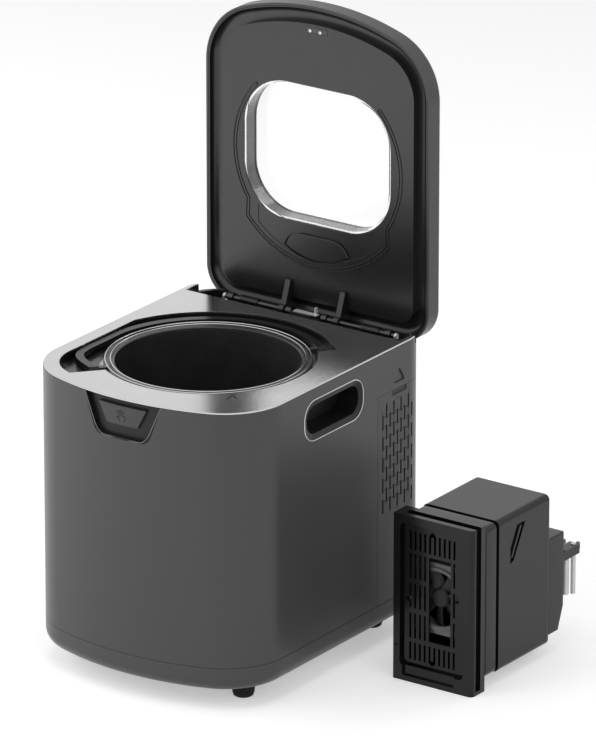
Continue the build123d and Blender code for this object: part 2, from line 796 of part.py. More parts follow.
# ---------------------------------------------------------------- filter bay, boards and inlet
def make_bay():
    """Moulded bay behind the chamber, open at the back and right, on two legs."""
    top = cover_top + 4.0
    zone = block(bay_left, side_x + 5, bay_front, rear_y + 5, bay_floor, top)
    bay = slab(wall + 0.6, bay_floor, top) & zone
    hollow = block(bay_left + bay_wall, side_x + 6, bay_front + bay_wall, rear_y + 6,
                   bay_floor + bay_wall, top - bay_wall)
    bay -= hollow
    bay -= deep_rod(duct_radius - 1.6, bay_front - 1, bay_front + 5, duct_x, duct_z)
    bay -= catch_room()
    for x in (bay_left + 6, 60):
        bay += block(x - 4, x + 4, bay_front + 8, bay_front + 16, pan_z + pan_floor + 0.1,
                     bay_floor + 0.5)
    return bay


def catch_room():
    """Room for the catches in the bay's roof."""
    room = block(side_x - wall - 12, side_x, catch_y - 16, catch_y + 16, cover_top - 12, cover_top + 6)
    return Compound(children=both_sides(room))


def make_inlet():
    """Appliance inlet on its bracket, seen through a window of the cover."""
    y1 = rear_y - 0.6
    y0 = y1 - inlet_depth
    body = block(inlet_x - inlet_width / 2, inlet_x + inlet_width / 2, y0, y1,
                 inlet_z - inlet_height / 2, inlet_z + inlet_height / 2)
    cavity = block(inlet_x - socket_width / 2, inlet_x + socket_width / 2, y1 - socket_depth, y1 + 1,
                   inlet_z - socket_height / 2, inlet_z + socket_height / 2)
    body -= fillet(cavity.edges().filter_by(Axis.Y).group_by(Axis.Z)[-1], 4.0)
    foot = block(inlet_x - 10, inlet_x + 10, y0, y0 + 8, pan_z + pan_floor + 0.1,
                 inlet_z - inlet_height / 2 + 0.2)
    return body + foot


def make_inlet_pins():
    pins = []
    y1 = rear_y - 0.6
    for x, z in ((-7, -2), (7, -2), (0, 3)):
        pins.append(block(inlet_x + x - 1, inlet_x + x + 1, y1 - socket_depth + 0.05, y1 - 8,
                          inlet_z + z - 2, inlet_z + z + 2))
    return group(*pins)


board_z = pan_z + pan_floor + 6.0
board_front = bay_front - 6.0


def make_main_board():
    return block(-50, 50, board_front, board_front + 10, board_z, board_z + 1.6) + block(
        -34, 48, board_front + 10, board_front + 62, board_z, board_z + 1.6)


def make_board_spacers():
    return group(*[
        rod(3.0, pan_z + pan_floor + 0.1, board_z - 0.1, x, y)
        for x in (-28, 44) for y in (board_front + 6, board_front + 56)])


def make_board_parts():
    """Transformer, capacitors and relay."""
    top = board_z + 1.7
    front = board_front
    transformer = block(-24, 4, front + 18, front + 46, top, top + 24)
    relay = block(22, 40, front + 14, front + 28, top, top + 16)
    caps = [rod(6, top, top + 22, 14, front + 38), rod(6, top, top + 22, 29, front + 46),
            rod(4, top, top + 14, 40, front + 38)]
    return group(transformer, relay, *caps)


nodes["filter_bay"] = make_bay()
nodes["power_inlet"] = group(make_inlet(), make_inlet_pins())
nodes["circuit_boards"] = group(make_main_board(), make_button_board())
nodes["board_spacers"] = group(make_board_spacers(), make_board_posts())
nodes["board_parts"] = make_board_parts()


# ---------------------------------------------------------------- lid, drawn shut and then raised
window_low = lid_low + 0.4
window_high = lid_top - 0.4
flange_high = lid_top - lid_skin - gap
window_flange = 5.0
window_lip = 1.8
panel_low = lid_low + 0.2
panel_skin = 2.0
panel_top = lid_low + channel_depth + 1.8
channel_out = lid_inset + panel_edge
channel_in = lid_inset + panel_inset


def raised(shape):
    """The lid's rest position: turned upright about its hinge."""
    return Pos(0, hinge_y, hinge_z) * Rot(-90, 0, 0) * Pos(0, -hinge_y, -hinge_z) * shape


def lid_slab(inset, low, high):
    return slab(inset, low, high, rear=lid_rear)


def window_block(grow, low, high):
    """A block with the window's rounded outline."""
    face = Pos(0, window_y, low) * RectangleRounded(
        window_width + 2 * grow, window_length + 2 * grow, window_corner + grow)
    return extrude(face, high - low, dir=(0, 0, 1))


def make_lid_shell():
    shell = lid_slab(lid_inset, lid_low, lid_top)
    shell = fillet(shell.edges().group_by(Axis.Z)[-1], lid_round)
    inner = lid_slab(lid_inset + lid_skin, lid_low - 1, lid_top - lid_skin)
    inner = fillet(inner.edges().group_by(Axis.Z)[-1], lid_round - lid_skin)
    return shell - inner - window_block(gap, lid_low, lid_top + 1)


def lid_channel(clear):
    """The channel along the lid's edge, its outer side well rounded; clear moves its faces in."""
    channel = lid_slab(channel_out + clear, panel_low - 1, lid_low + channel_depth - clear)
    channel = fillet(channel.edges().group_by(Axis.Z)[-1], channel_round - clear)
    return channel - lid_slab(channel_in - clear, panel_low - 2, lid_low + channel_depth + 1)


def make_lid_panel():
    """Inner panel: flat middle, rounded channel, flange along the lid's edge."""
    panel = lid_slab(lid_inset + lid_skin + gap, panel_low, panel_top)
    panel -= lid_channel(0)
    panel -= lid_slab(channel_in + 1.8, panel_low + panel_skin, panel_top + 1)
    panel += window_block(gap + 1.8, panel_low + panel_skin - 0.1, flange_high - window_lip - 1.1)
    panel -= window_block(gap, panel_low - 2, panel_top + 20)
    panel -= vent_area(panel_low - 1, panel_low + 0.6)
    panel -= lens(2.0, panel_low - 1, panel_low + panel_skin + 1)
    panel -= striker_block(0.2, panel_low - 1, panel_low + panel_skin + 1)
    return panel


def make_lid_window():
    """Clear window: a pane with a deep skirt and a flange under the lid's skin."""
    window = window_block(0, window_low, window_high)
    window += window_block(window_flange, flange_high - window_lip, flange_high)
    return window - window_block(-window_wall, window_low - 1, window_high - window_pane)


def make_window_gasket():
    low = flange_high - window_lip - 1.0
    return window_block(gap + 1.8, low, low + 0.9) - window_block(gap, low - 1, low + 2)


def lens(grow, low, high):
    """Plan of the vent cover: a wide arc behind and a flat front with round ends."""
    bow = vent_lens_bow + grow
    back = vent_lens_y + vent_lens_height / 2 + grow
    front = Pos(0, vent_lens_y + 10, low) * RectangleRounded(
        vent_lens_width + 2 * grow, vent_lens_height + 20 + 2 * grow, vent_lens_round + grow)
    return rod(bow, low, high, 0, back - bow) & extrude(front, high - low, dir=(0, 0, 1))


def vent_area(low, high):
    """Sunk crescent between the window and the sealing ridges."""
    area = rod(vent_area_radius, low, high, 0, ring_y)
    area &= block(-vent_area_half, vent_area_half, window_y, ring_y + 150, low, high)
    return area - window_block(3.0, low - 1, high + 1)


def make_vent_cover():
    cover = lens(0, lid_low - 0.3, panel_low + panel_skin + 0.2)
    return chamfer(cover.edges().group_by(Axis.Z)[0], 0.5)


def make_vent_plate():
    """Plate behind the panel that holds the vent cover."""
    return lens(5.0, panel_low + panel_skin + 0.2, panel_low + panel_skin + 2.0)


def ridge_band(width):
    """Open band of the sealing ridges: two side arcs joined by a wider arc behind the window."""
    right = CenterArc((0, ring_y), ring_side, -42, 75)
    rear = CenterArc((0, ring_y), ring_back, 41, 98)
    left = CenterArc((0, ring_y), ring_side, 147, 75)
    path = Curve() + [right, Line(right @ 1, rear @ 0), rear, Line(rear @ 1, left @ 0), left]
    ends = [Pos(*tip) * Circle(width / 2) for tip in (right @ 0, left @ 1)]
    return trace(path, width) + ends


def make_lid_seal():
    """Twin silicone ridges on the inner panel, closed round at their ends."""
    low = panel_low - ridge_proud
    ridges = ridge_band(ridge_step + ridge) - ridge_band(ridge_step - ridge)
    return extrude(Pos(0, 0, low) * ridges, ridge_proud, dir=(0, 0, 1))


striker_y = front_y + channel_in + 6.0


def striker_block(clear, low, high):
    return block(-12 - clear, 12 + clear, striker_y - 2.5 - clear, striker_y + 2.5 + clear, low, high)


def make_striker():
    """Steel plate that the latch magnet holds."""
    plate = striker_block(0, panel_low - 0.2, panel_low + panel_skin + 0.1)
    return plate + block(-16, 16, striker_y - 3.2, striker_y + 5, panel_low + panel_skin + 0.1,
                         panel_low + panel_skin + 1.3)


def make_latch_magnet():
    """Magnet in its holder under the front of the deck."""
    top = deck_top - deck_plate - 0.1
    return block(-13, 13, striker_y - 2.8, striker_y + 5.2, top - 8, top)


arm_x = 33.0
arm_half = 3.0


def make_hinge_arms():
    """Two arms screwed into the lid's channel, bored for the hinge rods, each with a long rib."""
    arms = []
    for x in (-arm_x, arm_x):
        eye = cross_rod(5.6, x - arm_half, x + arm_half, hinge_y, hinge_z)
        side = Plane(origin=(x - arm_half, 0, 0), x_dir=(0, 1, 0), z_dir=(1, 0, 0))
        rib = make_face(Polyline(
            (hinge_y - 5, hinge_z), (hinge_y + 0.2, hinge_z), (hinge_y + 0.2, panel_low),
            (rib_front, panel_low), (rib_front, panel_low - 3), close=True))
        web = extrude(side * rib, 2 * arm_half)
        seat = block(x - arm_half, x + arm_half, hinge_y - 12, hinge_y + 2, panel_low - 0.5, panel_top)
        arm = eye + web + (seat & lid_channel(0.2))
        arms.append(arm - cross_rod(hinge_rod + running, x - 9, x + 9, hinge_y, hinge_z))
    return group(*arms)


rod_starts = ((1, 14.0), (-1, 20.5))   # side and inner end of each rod, clear of the lid switch
rod_end = 103.0


def side_span(side, near, far):
    """The two X levels of a piece on one side, the lower one first."""
    return sorted((side * near, side * far))


def make_hinge_rods():
    return group(*[cross_rod(hinge_rod, *side_span(side, start, rod_end), hinge_y, hinge_z)
                   for side, start in rod_starts])


def make_hinge_brackets():
    """Eared brackets on the floor of the trough."""
    low = hinge_trough_floor + 0.1
    brackets = []
    for side, start in rod_starts:
        bracket = block(*side_span(side, start + 1, rod_end - 3), hinge_y - 6, hinge_y + 7, low, low + 2.4)
        for near in (start + 1, rod_end - 11):
            ear = side_span(side, near, near + 6)
            bracket += block(*ear, hinge_y - 4.6, hinge_y + 4.6, low, hinge_z)
            bracket += cross_rod(5.0, *ear, hinge_y, hinge_z)
        brackets.append(bracket - cross_rod(hinge_rod + 0.02, -120, 120, hinge_y, hinge_z))
    return group(*brackets)


def make_hinge_springs():
    spring = Pos(62, hinge_y, hinge_z) * Rot(0, 90, 0) * coil(4.3, 0.6, 1.8, 22)
    return group(*both_sides(spring))


def make_lid_switch():
    """Switch in the middle of the trough that feels the lid."""
    low = hinge_trough_floor + 0.1
    return block(-19.5, 6, hinge_y - 9, hinge_y + 5, low, hinge_z + 3.4)


def make_switch_spring():
    """Bright leaf spring on the switch."""
    low = hinge_z + 3.5
    leaf = block(-16, 12, hinge_y - 7, hinge_y - 1, low, low + 0.8)
    return leaf + block(7.5, 10, hinge_y - 4, hinge_y - 1, low, low + 7.5)


nodes["lid_shell"] = raised(make_lid_shell())
nodes["lid_panel"] = raised(make_lid_panel())
nodes["lid_window"] = raised(make_lid_window())
nodes["window_gasket"] = raised(make_window_gasket())
nodes["vent_cover"] = raised(make_vent_cover())
nodes["vent_plate"] = raised(make_vent_plate())
nodes["lid_seal"] = raised(make_lid_seal())
nodes["lid_striker"] = raised(make_striker())
nodes["hinge_arms"] = raised(make_hinge_arms())
nodes["latch_magnet"] = make_latch_magnet()
nodes["hinge_rods"] = make_hinge_rods()
nodes["hinge_brackets"] = make_hinge_brackets()
nodes["hinge_springs"] = make_hinge_springs()
nodes["lid_switch"] = make_lid_switch()
nodes["switch_spring"] = make_switch_spring()


# ---------------------------------------------------------------- filter cartridge
case_low = 12.0
case_high = cart_height - 5.0
case_left = 4.0
case_right = cart_width - 1.0
recess_left = 7.5
recess_right = cart_width - 11.0
recess_low = 15.5
recess_high = cart_height - 8.5
grille_left = 10.4
grille_right = recess_right - 1.0
grille_low = 19.0
grille_high = 165.0
view_left = 39.0
view_right = 64.4
view_low = 45.4
view_high = 133.6
slot_rows = [(22.5, 40.5), (view_low, 71.2), (76.7, 102.4), (107.9, view_high), (137.5, 157.0)]
column_left = 17.3
column_pitch = 5.7
column_width = 2.4
screw_heights = [cart_height / 2 + step * 50.5 for step in (-1, 0, 1)]


def placed(shape):
    """The cartridge's place beside the housing."""
    return Pos(cart_x, cart_y, 0) * shape


def upright(x0, x1, z0, z1, corner, y0, y1):
    """A rounded rectangle seen from the front, run along Y."""
    plane = Plane(origin=((x0 + x1) / 2, y0, (z0 + z1) / 2), x_dir=(1, 0, 0), z_dir=(0, -1, 0))
    return extrude(plane * RectangleRounded(x1 - x0, z1 - z0, corner), y0 - y1)


def make_flange():
    """Deep front frame of the cartridge, with a channel round it; it stands on its lower edge."""
    frame = block(0, cart_width, 0, flange_depth, 0, cart_height)
    frame = fillet(frame.edges().filter_by(Axis.Z).group_by(Axis.X)[-1].group_by(Axis.Y)[0], 5.0)
    frame -= upright(recess_left, recess_right, recess_low, recess_high, 5.0, -1, plate_depth - 2.5)
    frame -= upright(grille_left + 4, grille_right - 4, grille_low + 2, grille_high - 6, 3.0, 0,
                     flange_depth + 1)
    frame -= upright(6.5, cart_width - 6.5, 6.5, cart_height - 6.5, 4.0, plate_depth, flange_depth + 1)
    frame -= block(cart_width - channel_sink, cart_width + 1, channel_front, channel_back, 4,
                   cart_height + 1)
    frame -= block(10, cart_width + 1, channel_front, channel_back, cart_height - channel_sink,
                   cart_height + 1)
    frame -= upright(grille_left, grille_right - 10, 5.5, recess_low + 4, 1.0, -1, 3.0)
    for z in screw_heights:
        frame -= deep_rod(1.3, -1, plate_depth + 1, 4.0, z)
    return frame


def make_grille():
    """Flat grille with ten columns of slots and a tall opening in front of the fan."""
    y0 = plate_depth - 2.5 - gap - grille_thick
    grille = upright(grille_left, grille_right, grille_low, grille_high, 5.0, y0, y0 + grille_thick)
    cuts = []
    for column in range(grille_columns):
        x = column_left + column * column_pitch
        for low, high in slot_rows:
            in_view = view_left < x < view_right and view_low <= low < view_high
            if not in_view:
                cuts.append(block(x - column_width / 2, x + column_width / 2, y0 - 1,
                                  y0 + grille_thick + 1, low, high))
    cuts.append(block(view_left, view_right, y0 - 1, y0 + grille_thick + 1, view_low, view_high))
    for x, z in ((43.0, 157.5), (72.0, 95.5), (14.6, 85.5), (43.0, 23.0)):
        cuts.append(deep_rod(2.6, y0 - 1, y0 + grille_thick + 1, x, z))
    return grille - Compound(children=cuts)


def make_case_front():
    """Ring-shaped front half of the case, behind the flange, stepped in at both its ends."""
    y0 = flange_depth + 0.1
    y1 = flange_depth + band_depth
    neck = 1.8
    room = neck + 2.0
    ring = upright(case_left, case_right, case_low, case_high, case_round, y0 + 2.5, y1 - 2.5)
    ring += upright(case_left + neck, case_right - neck, case_low + neck, case_high - neck,
                    case_round - neck, y0, y1)
    return ring - upright(case_left + room, case_right - room, case_low + room, case_high - room,
                          case_round - room, y0 - 1, y1 + 1)


def make_case_rear():
    """Deep rear half of the case, with a sunk finger grip in its right side."""
    y0 = flange_depth + band_depth + 0.2
    grow = 0.8
    case = upright(case_left - grow, case_right + grow, case_low - grow, case_high + grow,
                   case_round, y0, cart_depth)
    case = fillet(case.edges().group_by(Axis.Y)[-1], 3.0)
    case -= upright(case_left + case_wall, case_right - case_wall, case_low + case_wall,
                    case_high - case_wall, case_round - case_wall, y0 - 1, cart_depth - case_wall)
    case -= upright(30, 76, 40, 104, 4.0, cart_depth - 5, cart_depth + 5)
    grip = Plane(origin=(case_right + 2, 0, 0), x_dir=(0, 1, 0), z_dir=(1, 0, 0))
    face = make_face(Polyline((66, 158), (92, 156.5), (72, 121), (66, 119), close=True))
    case -= extrude(grip * face, -(2 + 1.9))
    rib = make_face(Polyline((84, 153.5), (87.5, 153.5), (71.5, 124), (68.5, 124), close=True))
    return case + extrude(grip * rib, -4.1) - extrude(grip * rib, -2.2)


def make_filter_block():
    """Pleated charcoal block that fills the case."""
    return upright(case_left + case_wall + gap, case_right - case_wall - gap,
                   case_low + case_wall + gap, case_high - case_wall - gap, 3.5, 72.0,
                   72.0 + filter_depth)


fan_x = 46.0
fan_z = 90.0


def make_fan_frame():
    """Square fan housing behind the grille, held on the flange."""
    y0 = plate_depth + 0.1
    size = fan_radius + 4.0
    frame = upright(fan_x - size, fan_x + size, fan_z - size, fan_z + size, 3.0, y0, y0 + fan_depth)
    frame -= deep_rod(fan_radius, y0 - 1, y0 + fan_depth + 1, fan_x, fan_z)
    hub = deep_rod(9, y0 + fan_depth - 3, y0 + fan_depth, fan_x, fan_z)
    for turn in (0, 90):
        bar = block(-fan_radius - 1, fan_radius + 1, -2, 2, -2, 2)
        hub += Pos(fan_x, y0 + fan_depth - 1.5, fan_z) * Rot(0, 45 + turn, 0) * Box(
            2 * fan_radius + 2, 3, 4)
    frame += hub
    return frame - deep_rod(1.5 + running, y0, y0 + fan_depth + 1, fan_x, fan_z)


def make_fan_rotor():
    y0 = plate_depth + 2.0
    hub = deep_rod(10, y0, y0 + 9.5, fan_x, fan_z)
    for index in range(7):
        blade = Rot(0, index * 360 / 7, 0) * Pos(19.5, 0, 0) * Rot(35, 0, 0) * Box(22, 1.6, 11)
        hub += Pos(fan_x, y0 + 5, fan_z) * blade
    hub += deep_rod(1.5, y0 + 9, y0 + 13.5, fan_x, fan_z)
    return hub


def make_outlet_box():
    """Box on the back of the case, tapered at the bottom."""
    y0 = cart_depth + 0.1
    y1 = y0 + outlet_depth
    low = outlet_low + 8
    side = Plane(origin=(outlet_left, 0, 0), x_dir=(0, 1, 0), z_dir=(1, 0, 0))
    face = make_face(Polyline(
        (y0, low), (y1 - 9, low), (y1, low + 24), (y1, outlet_high), (y0, outlet_high), close=True))
    box = extrude(side * face, outlet_right - outlet_left)
    inside = block(outlet_left + case_wall, outlet_right - case_wall, y0 - 1, y1 - 11,
                   low + case_wall, outlet_high - case_wall)
    return box - inside


valve_y = cart_depth + outlet_depth
valve_x = case_right - 10.0
valve_z = 92.0


def make_valve_block():
    return block(valve_x - 6, valve_x + 6, valve_y + 0.2, valve_y + 34, valve_z - 5, valve_z + 5) - rod(
        2.7, valve_z - 10, valve_z + 10, valve_x + 1.5, valve_y + 29)


def make_valve_pin():
    return rod(2.6, valve_z - 47, valve_z + 6, valve_x + 1.5, valve_y + 29)


def make_valve_sleeve():
    return rod(3.8, valve_z - 46, valve_z - 5.1, valve_x - 2.5, valve_y + 21)


def make_valve_screws():
    """Two wing screws that clamp the pin."""
    top = rod(1.5, valve_z + 5.1, valve_z + 9, valve_x - 2, valve_y + 14)
    top += Pos(valve_x - 2, valve_y + 14, valve_z + 11) * Box(3, 9, 4)
    back = deep_rod(1.5, valve_y + 34.1, valve_y + 38, valve_x, valve_z)
    back += Pos(valve_x, valve_y + 39.5, valve_z) * Box(3, 3.4, 7)
    return group(top, back)


def make_flange_screws():
    """Screws in the side strip of the flange."""
    return group(*[
        deep_rod(1.2, 1.2, plate_depth - 0.5, 4.0, z) for z in screw_heights])


nodes["cartridge_flange"] = placed(make_flange())
nodes["cartridge_grille"] = placed(make_grille())
nodes["case_front"] = placed(make_case_front())
nodes["case_rear"] = placed(make_case_rear())
nodes["filter_block"] = placed(make_filter_block())
nodes["fan_frame"] = placed(make_fan_frame())
nodes["fan_rotor"] = placed(make_fan_rotor())
nodes["outlet_box"] = placed(make_outlet_box())
nodes["valve_block"] = placed(make_valve_block())
nodes["valve_pins"] = placed(group(make_valve_pin(), make_valve_sleeve()))
nodes["cartridge_screws"] = placed(group(make_valve_screws(), make_flange_screws()))


# ---------------------------------------------------------------- files
os.makedirs("parts", exist_ok=True)
for name, shape in nodes.items():
    export_step(shape, f"parts/{name}.step")
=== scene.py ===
import math

import bmesh
import bpy
from mathutils import Matrix, Vector


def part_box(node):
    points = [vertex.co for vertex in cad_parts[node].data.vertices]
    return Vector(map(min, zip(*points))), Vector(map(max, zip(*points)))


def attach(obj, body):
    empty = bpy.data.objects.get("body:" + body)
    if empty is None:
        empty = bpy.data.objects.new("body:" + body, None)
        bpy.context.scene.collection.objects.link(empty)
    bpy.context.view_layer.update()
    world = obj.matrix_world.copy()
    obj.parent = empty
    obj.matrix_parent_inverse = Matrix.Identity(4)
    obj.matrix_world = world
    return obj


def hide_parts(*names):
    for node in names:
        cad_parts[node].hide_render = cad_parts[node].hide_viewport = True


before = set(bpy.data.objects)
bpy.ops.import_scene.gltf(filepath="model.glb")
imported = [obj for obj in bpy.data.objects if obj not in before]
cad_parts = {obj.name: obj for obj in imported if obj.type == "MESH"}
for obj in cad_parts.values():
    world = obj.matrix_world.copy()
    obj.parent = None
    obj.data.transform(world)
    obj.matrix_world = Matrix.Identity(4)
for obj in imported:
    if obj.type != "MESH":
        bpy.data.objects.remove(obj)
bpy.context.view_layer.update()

# ---------------------------------------------------------------- feet
# Four turned rubber feet, each a tapered puck with a ribbed side and a sunk screw in its sole, hold
# the machine off the table. They are pushed into the base pan and screwed from below.
mm = 0.001
foot_top = 12.5 * mm
foot_sole = 10.0 * mm
foot_height = 18.0 * mm
foot_rib = 0.5 * mm
foot_ribs = 5
foot_screw = 4.0 * mm
foot_screw_depth = 5.0 * mm
rubber_dark = (0.010, 0.010, 0.010, 1)
rubber_light = (0.018, 0.018, 0.018, 1)


class Wire:
    """An output socket of a finish; arithmetic on it adds Math nodes."""

    def __init__(self, finish, socket):
        self.finish = finish
        self.socket = socket

    def math(self, operation, *values):
        return self.finish.node("Math", {"operation": operation}, *values)

    def __add__(self, other):
        return self.math("ADD", self, other)

    def __radd__(self, other):
        return self.math("ADD", other, self)

    def __sub__(self, other):
        return self.math("SUBTRACT", self, other)

    def __rsub__(self, other):
        return self.math("SUBTRACT", other, self)

    def __mul__(self, other):
        return self.math("MULTIPLY", self, other)

    def __rmul__(self, other):
        return self.math("MULTIPLY", other, self)

    def __truediv__(self, other):
        return self.math("DIVIDE", self, other)

    def __pow__(self, other):
        return self.math("POWER", self, other)

    def __gt__(self, other):
        return self.math("GREATER_THAN", self, other)

    def __lt__(self, other):
        return self.math("LESS_THAN", self, other)


class Finish:
    """A material built round one Principled shader; named sockets take numbers, colours or wires."""

    def __init__(self, name, **sockets):
        self.material = bpy.data.materials.new(name)
        self.material.use_nodes = True
        self.tree = self.material.node_tree
        self.shader = self.tree.nodes["Principled BSDF"]
        self.set(**sockets)

    def set(self, **sockets):
        for name, value in sockets.items():
            self.feed(self.shader.inputs[name.replace("_", " ")], value)
        return self

    def feed(self, socket, value):
        if isinstance(value, Wire):
            self.tree.links.new(value.socket, socket)
        elif value is not None:
            socket.default_value = value

    def node(self, kind, settings=None, *values, output=0, **named):
        """Adds a node: its settings first, then what its sockets take, by place or by name."""
        made = self.tree.nodes.new("ShaderNode" + kind)
        for key, value in (settings or {}).items():
            if key == "stops":
                for index, (place, shade) in enumerate(value):
                    spots = made.color_ramp.elements
                    spot = spots[index] if index < 2 else spots.new(place)
                    spot.position = place
                    spot.color = shade
            else:
                setattr(made, key, value)
        for socket, value in zip(made.inputs, values):
            self.feed(socket, value)
        for name, value in named.items():
            self.feed(made.inputs[name.replace("_", " ")], value)
        return Wire(self, made.outputs[output])

    def place(self):
        """Object coordinates, in metres."""
        return self.node("TexCoord", output="Object")

    def along(self, axis):
        """One coordinate, 0 for X, 1 for Y and 2 for Z."""
        return self.node("SeparateXYZ", None, self.place(), output=axis)

    def noise(self, size, detail=3.0, roughness=0.5):
        """Soft noise whose blotches are about size across."""
        return self.node("TexNoise", None, Vector=self.place(), Scale=1 / size, Detail=detail,
                         Roughness=roughness)

    def blend(self, share, first, second):
        """A colour between two, by share."""
        mixed = self.node("Mix", {"data_type": "RGBA"}, share, output=2)
        knot = mixed.socket.node
        self.feed(knot.inputs[6], first)
        self.feed(knot.inputs[7], second)
        return mixed

    def bump(self, height, depth, strength=1.0, over=None):
        """A normal raised by height, which runs 0 to 1, times depth in metres."""
        return self.node("Bump", None, Height=height, Distance=depth, Strength=strength, Normal=over)


rubber = Finish("black_rubber", Specular_IOR_Level=0.3)
rubber.set(Base_Color=rubber.blend(rubber.noise(4 * mm), rubber_dark, rubber_light),
           Roughness=0.62 + 0.2 * rubber.noise(3 * mm),
           Normal=rubber.bump(rubber.noise(0.8 * mm), 0.02 * mm, 0.5))

shade_by_angle = bpy.data.node_groups.new("shade_by_angle", "GeometryNodeTree")
shade_by_angle.interface.new_socket("Geometry", in_out="INPUT", socket_type="NodeSocketGeometry")
shade_by_angle.interface.new_socket("Geometry", in_out="OUTPUT", socket_type="NodeSocketGeometry")
shade_links = shade_by_angle.links
shade_in = shade_by_angle.nodes.new("NodeGroupInput")
shade_out = shade_by_angle.nodes.new("NodeGroupOutput")
all_smooth = shade_by_angle.nodes.new("GeometryNodeSetShadeSmooth")
edge_angle = shade_by_angle.nodes.new("GeometryNodeInputMeshEdgeAngle")
blunt = shade_by_angle.nodes.new("FunctionNodeCompare")
blunt.operation = "GREATER_THAN"
blunt.inputs[1].default_value = math.radians(32)
sharp = shade_by_angle.nodes.new("GeometryNodeSetShadeSmooth")
sharp.domain = "EDGE"
sharp.inputs["Shade Smooth"].default_value = False
shade_links.new(shade_in.outputs[0], all_smooth.inputs["Geometry"])
shade_links.new(all_smooth.outputs[0], sharp.inputs["Geometry"])
shade_links.new(edge_angle.outputs[0], blunt.inputs[0])
shade_links.new(blunt.outputs[0], sharp.inputs["Selection"])
shade_links.new(sharp.outputs[0], shade_out.inputs[0])


def ease(part, width, steps=2, angle=30):
    """Welds a part's triangles, rounds its sharp edges and smooths the rest, with flat faces kept flat."""
    weld = part.modifiers.new("weld", "WELD")
    weld.merge_threshold = 0.002 * mm
    if width:
        bevel = part.modifiers.new("ease", "BEVEL")
        bevel.width = width
        bevel.segments = steps
        bevel.limit_method = "ANGLE"
        bevel.angle_limit = math.radians(angle)
        bevel.use_clamp_overlap = True
    smooth = part.modifiers.new("smooth", "NODES")
    smooth.node_group = shade_by_angle
    weigh = part.modifiers.new("weigh", "WEIGHTED_NORMAL")
    weigh.keep_sharp = True


def dress(finish, width, *nodes):
    """Gives CAD parts their finish and eased edges."""
    for node in nodes:
        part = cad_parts[node]
        part.data.materials.clear()
        part.data.materials.append(finish.material)
        ease(part, width)


def turned(mesh, profile, place=Matrix(), steps=48):
    """Spins a profile of radius and height pairs about Z, then sets the form in its place."""
    known = set(mesh.verts)
    spots = [mesh.verts.new((radius, 0, height)) for radius, height in profile]
    edges = [mesh.edges.new(pair) for pair in zip(spots, spots[1:])]
    bmesh.ops.spin(mesh, geom=spots + edges, cent=(0, 0, 0), axis=(0, 0, 1),
                   angle=2 * math.pi, steps=steps, use_merge=True)
    made = [vert for vert in mesh.verts if vert not in known]
    bmesh.ops.remove_doubles(mesh, verts=made, dist=0.001 * mm)
    made = [vert for vert in mesh.verts if vert not in known]
    bmesh.ops.transform(mesh, matrix=place, verts=made)


def build(name, mesh, finish, body, covers=(), width=0.0, steps=2):
    """Makes a piece from a mesh; it rides on a body and stands for the CAD parts it covers."""
    bmesh.ops.recalc_face_normals(mesh, faces=mesh.faces)
    data = bpy.data.meshes.new(name)
    mesh.to_mesh(data)
    mesh.free()
    data.materials.append(finish.material)
    piece = bpy.data.objects.new(name, data)
    bpy.context.scene.collection.objects.link(piece)
    ease(piece, width, steps)
    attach(piece, body)
    if covers:
        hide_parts(*covers)
    return piece


foot_low, foot_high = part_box("rubber_feet")
foot_x = foot_high[0] - 12.0 * mm
feet = bmesh.new()
foot_profile = [(0, foot_screw_depth), (foot_screw, foot_screw_depth), (foot_screw, 0.4 * mm),
                (foot_screw + 0.4 * mm, 0), (foot_sole - 1.2 * mm, 0), (foot_sole, 1.0 * mm)]
for rib in range(foot_ribs):
    rib_low = 3.0 * mm + rib * 2.4 * mm
    rib_radius = foot_sole + (foot_top - foot_sole) * rib_low / foot_height
    foot_profile += [(rib_radius, rib_low), (rib_radius + foot_rib, rib_low + 0.6 * mm),
                     (rib_radius + foot_rib, rib_low + 1.2 * mm), (rib_radius, rib_low + 1.8 * mm)]
foot_profile += [(foot_top, foot_height - 1.5 * mm), (foot_top, foot_height - 0.1 * mm),
                 (0, foot_height - 0.1 * mm)]
for x in (-foot_x, foot_x):
    for y in (foot_low[1] + 12.0 * mm, foot_high[1] - 12.0 * mm):
        turned(feet, foot_profile, Matrix.Translation((x, y, 0)), 40)
build("ribbed_feet", feet, rubber, "housing", ["rubber_feet"])
dress(rubber, 0.15 * mm, "shaft_seal")

# ---------------------------------------------------------------- base pan, shroud and rear cover
# The visible case is moulded in ABS and sprayed with a satin graphite paint: a fine metallic flake
# under a thin clear coat with a faint orange peel. The pan carries everything, the shroud slides over
# it, and the rear cover with its rows of upright vent slots clips into the shroud.
case_edge = 0.45 * mm
paint_dark = (0.061, 0.061, 0.062, 1)
paint_light = (0.083, 0.083, 0.0845, 1)
paint_flake = 0.25 * mm
paint_peel = 2.4 * mm
paint_cloud = 90 * mm

graphite = Finish("graphite_paint", Metallic=0.25, Specular_IOR_Level=0.25,
                  Coat_Weight=0.06, Coat_Roughness=0.22)
flake = graphite.noise(paint_flake, detail=1)
graphite.set(Base_Color=graphite.blend(flake, paint_dark, paint_light),
             Roughness=0.30 + 0.05 * graphite.noise(paint_peel * 6) + 0.04 * graphite.noise(paint_cloud),
             Normal=graphite.bump(graphite.noise(paint_peel), 0.008 * mm, 0.25,
                                  graphite.bump(flake, 0.003 * mm, 0.2)))
dress(graphite, case_edge, "base_pan", "outer_shell")
dress(graphite, 0.25 * mm, "rear_cover")

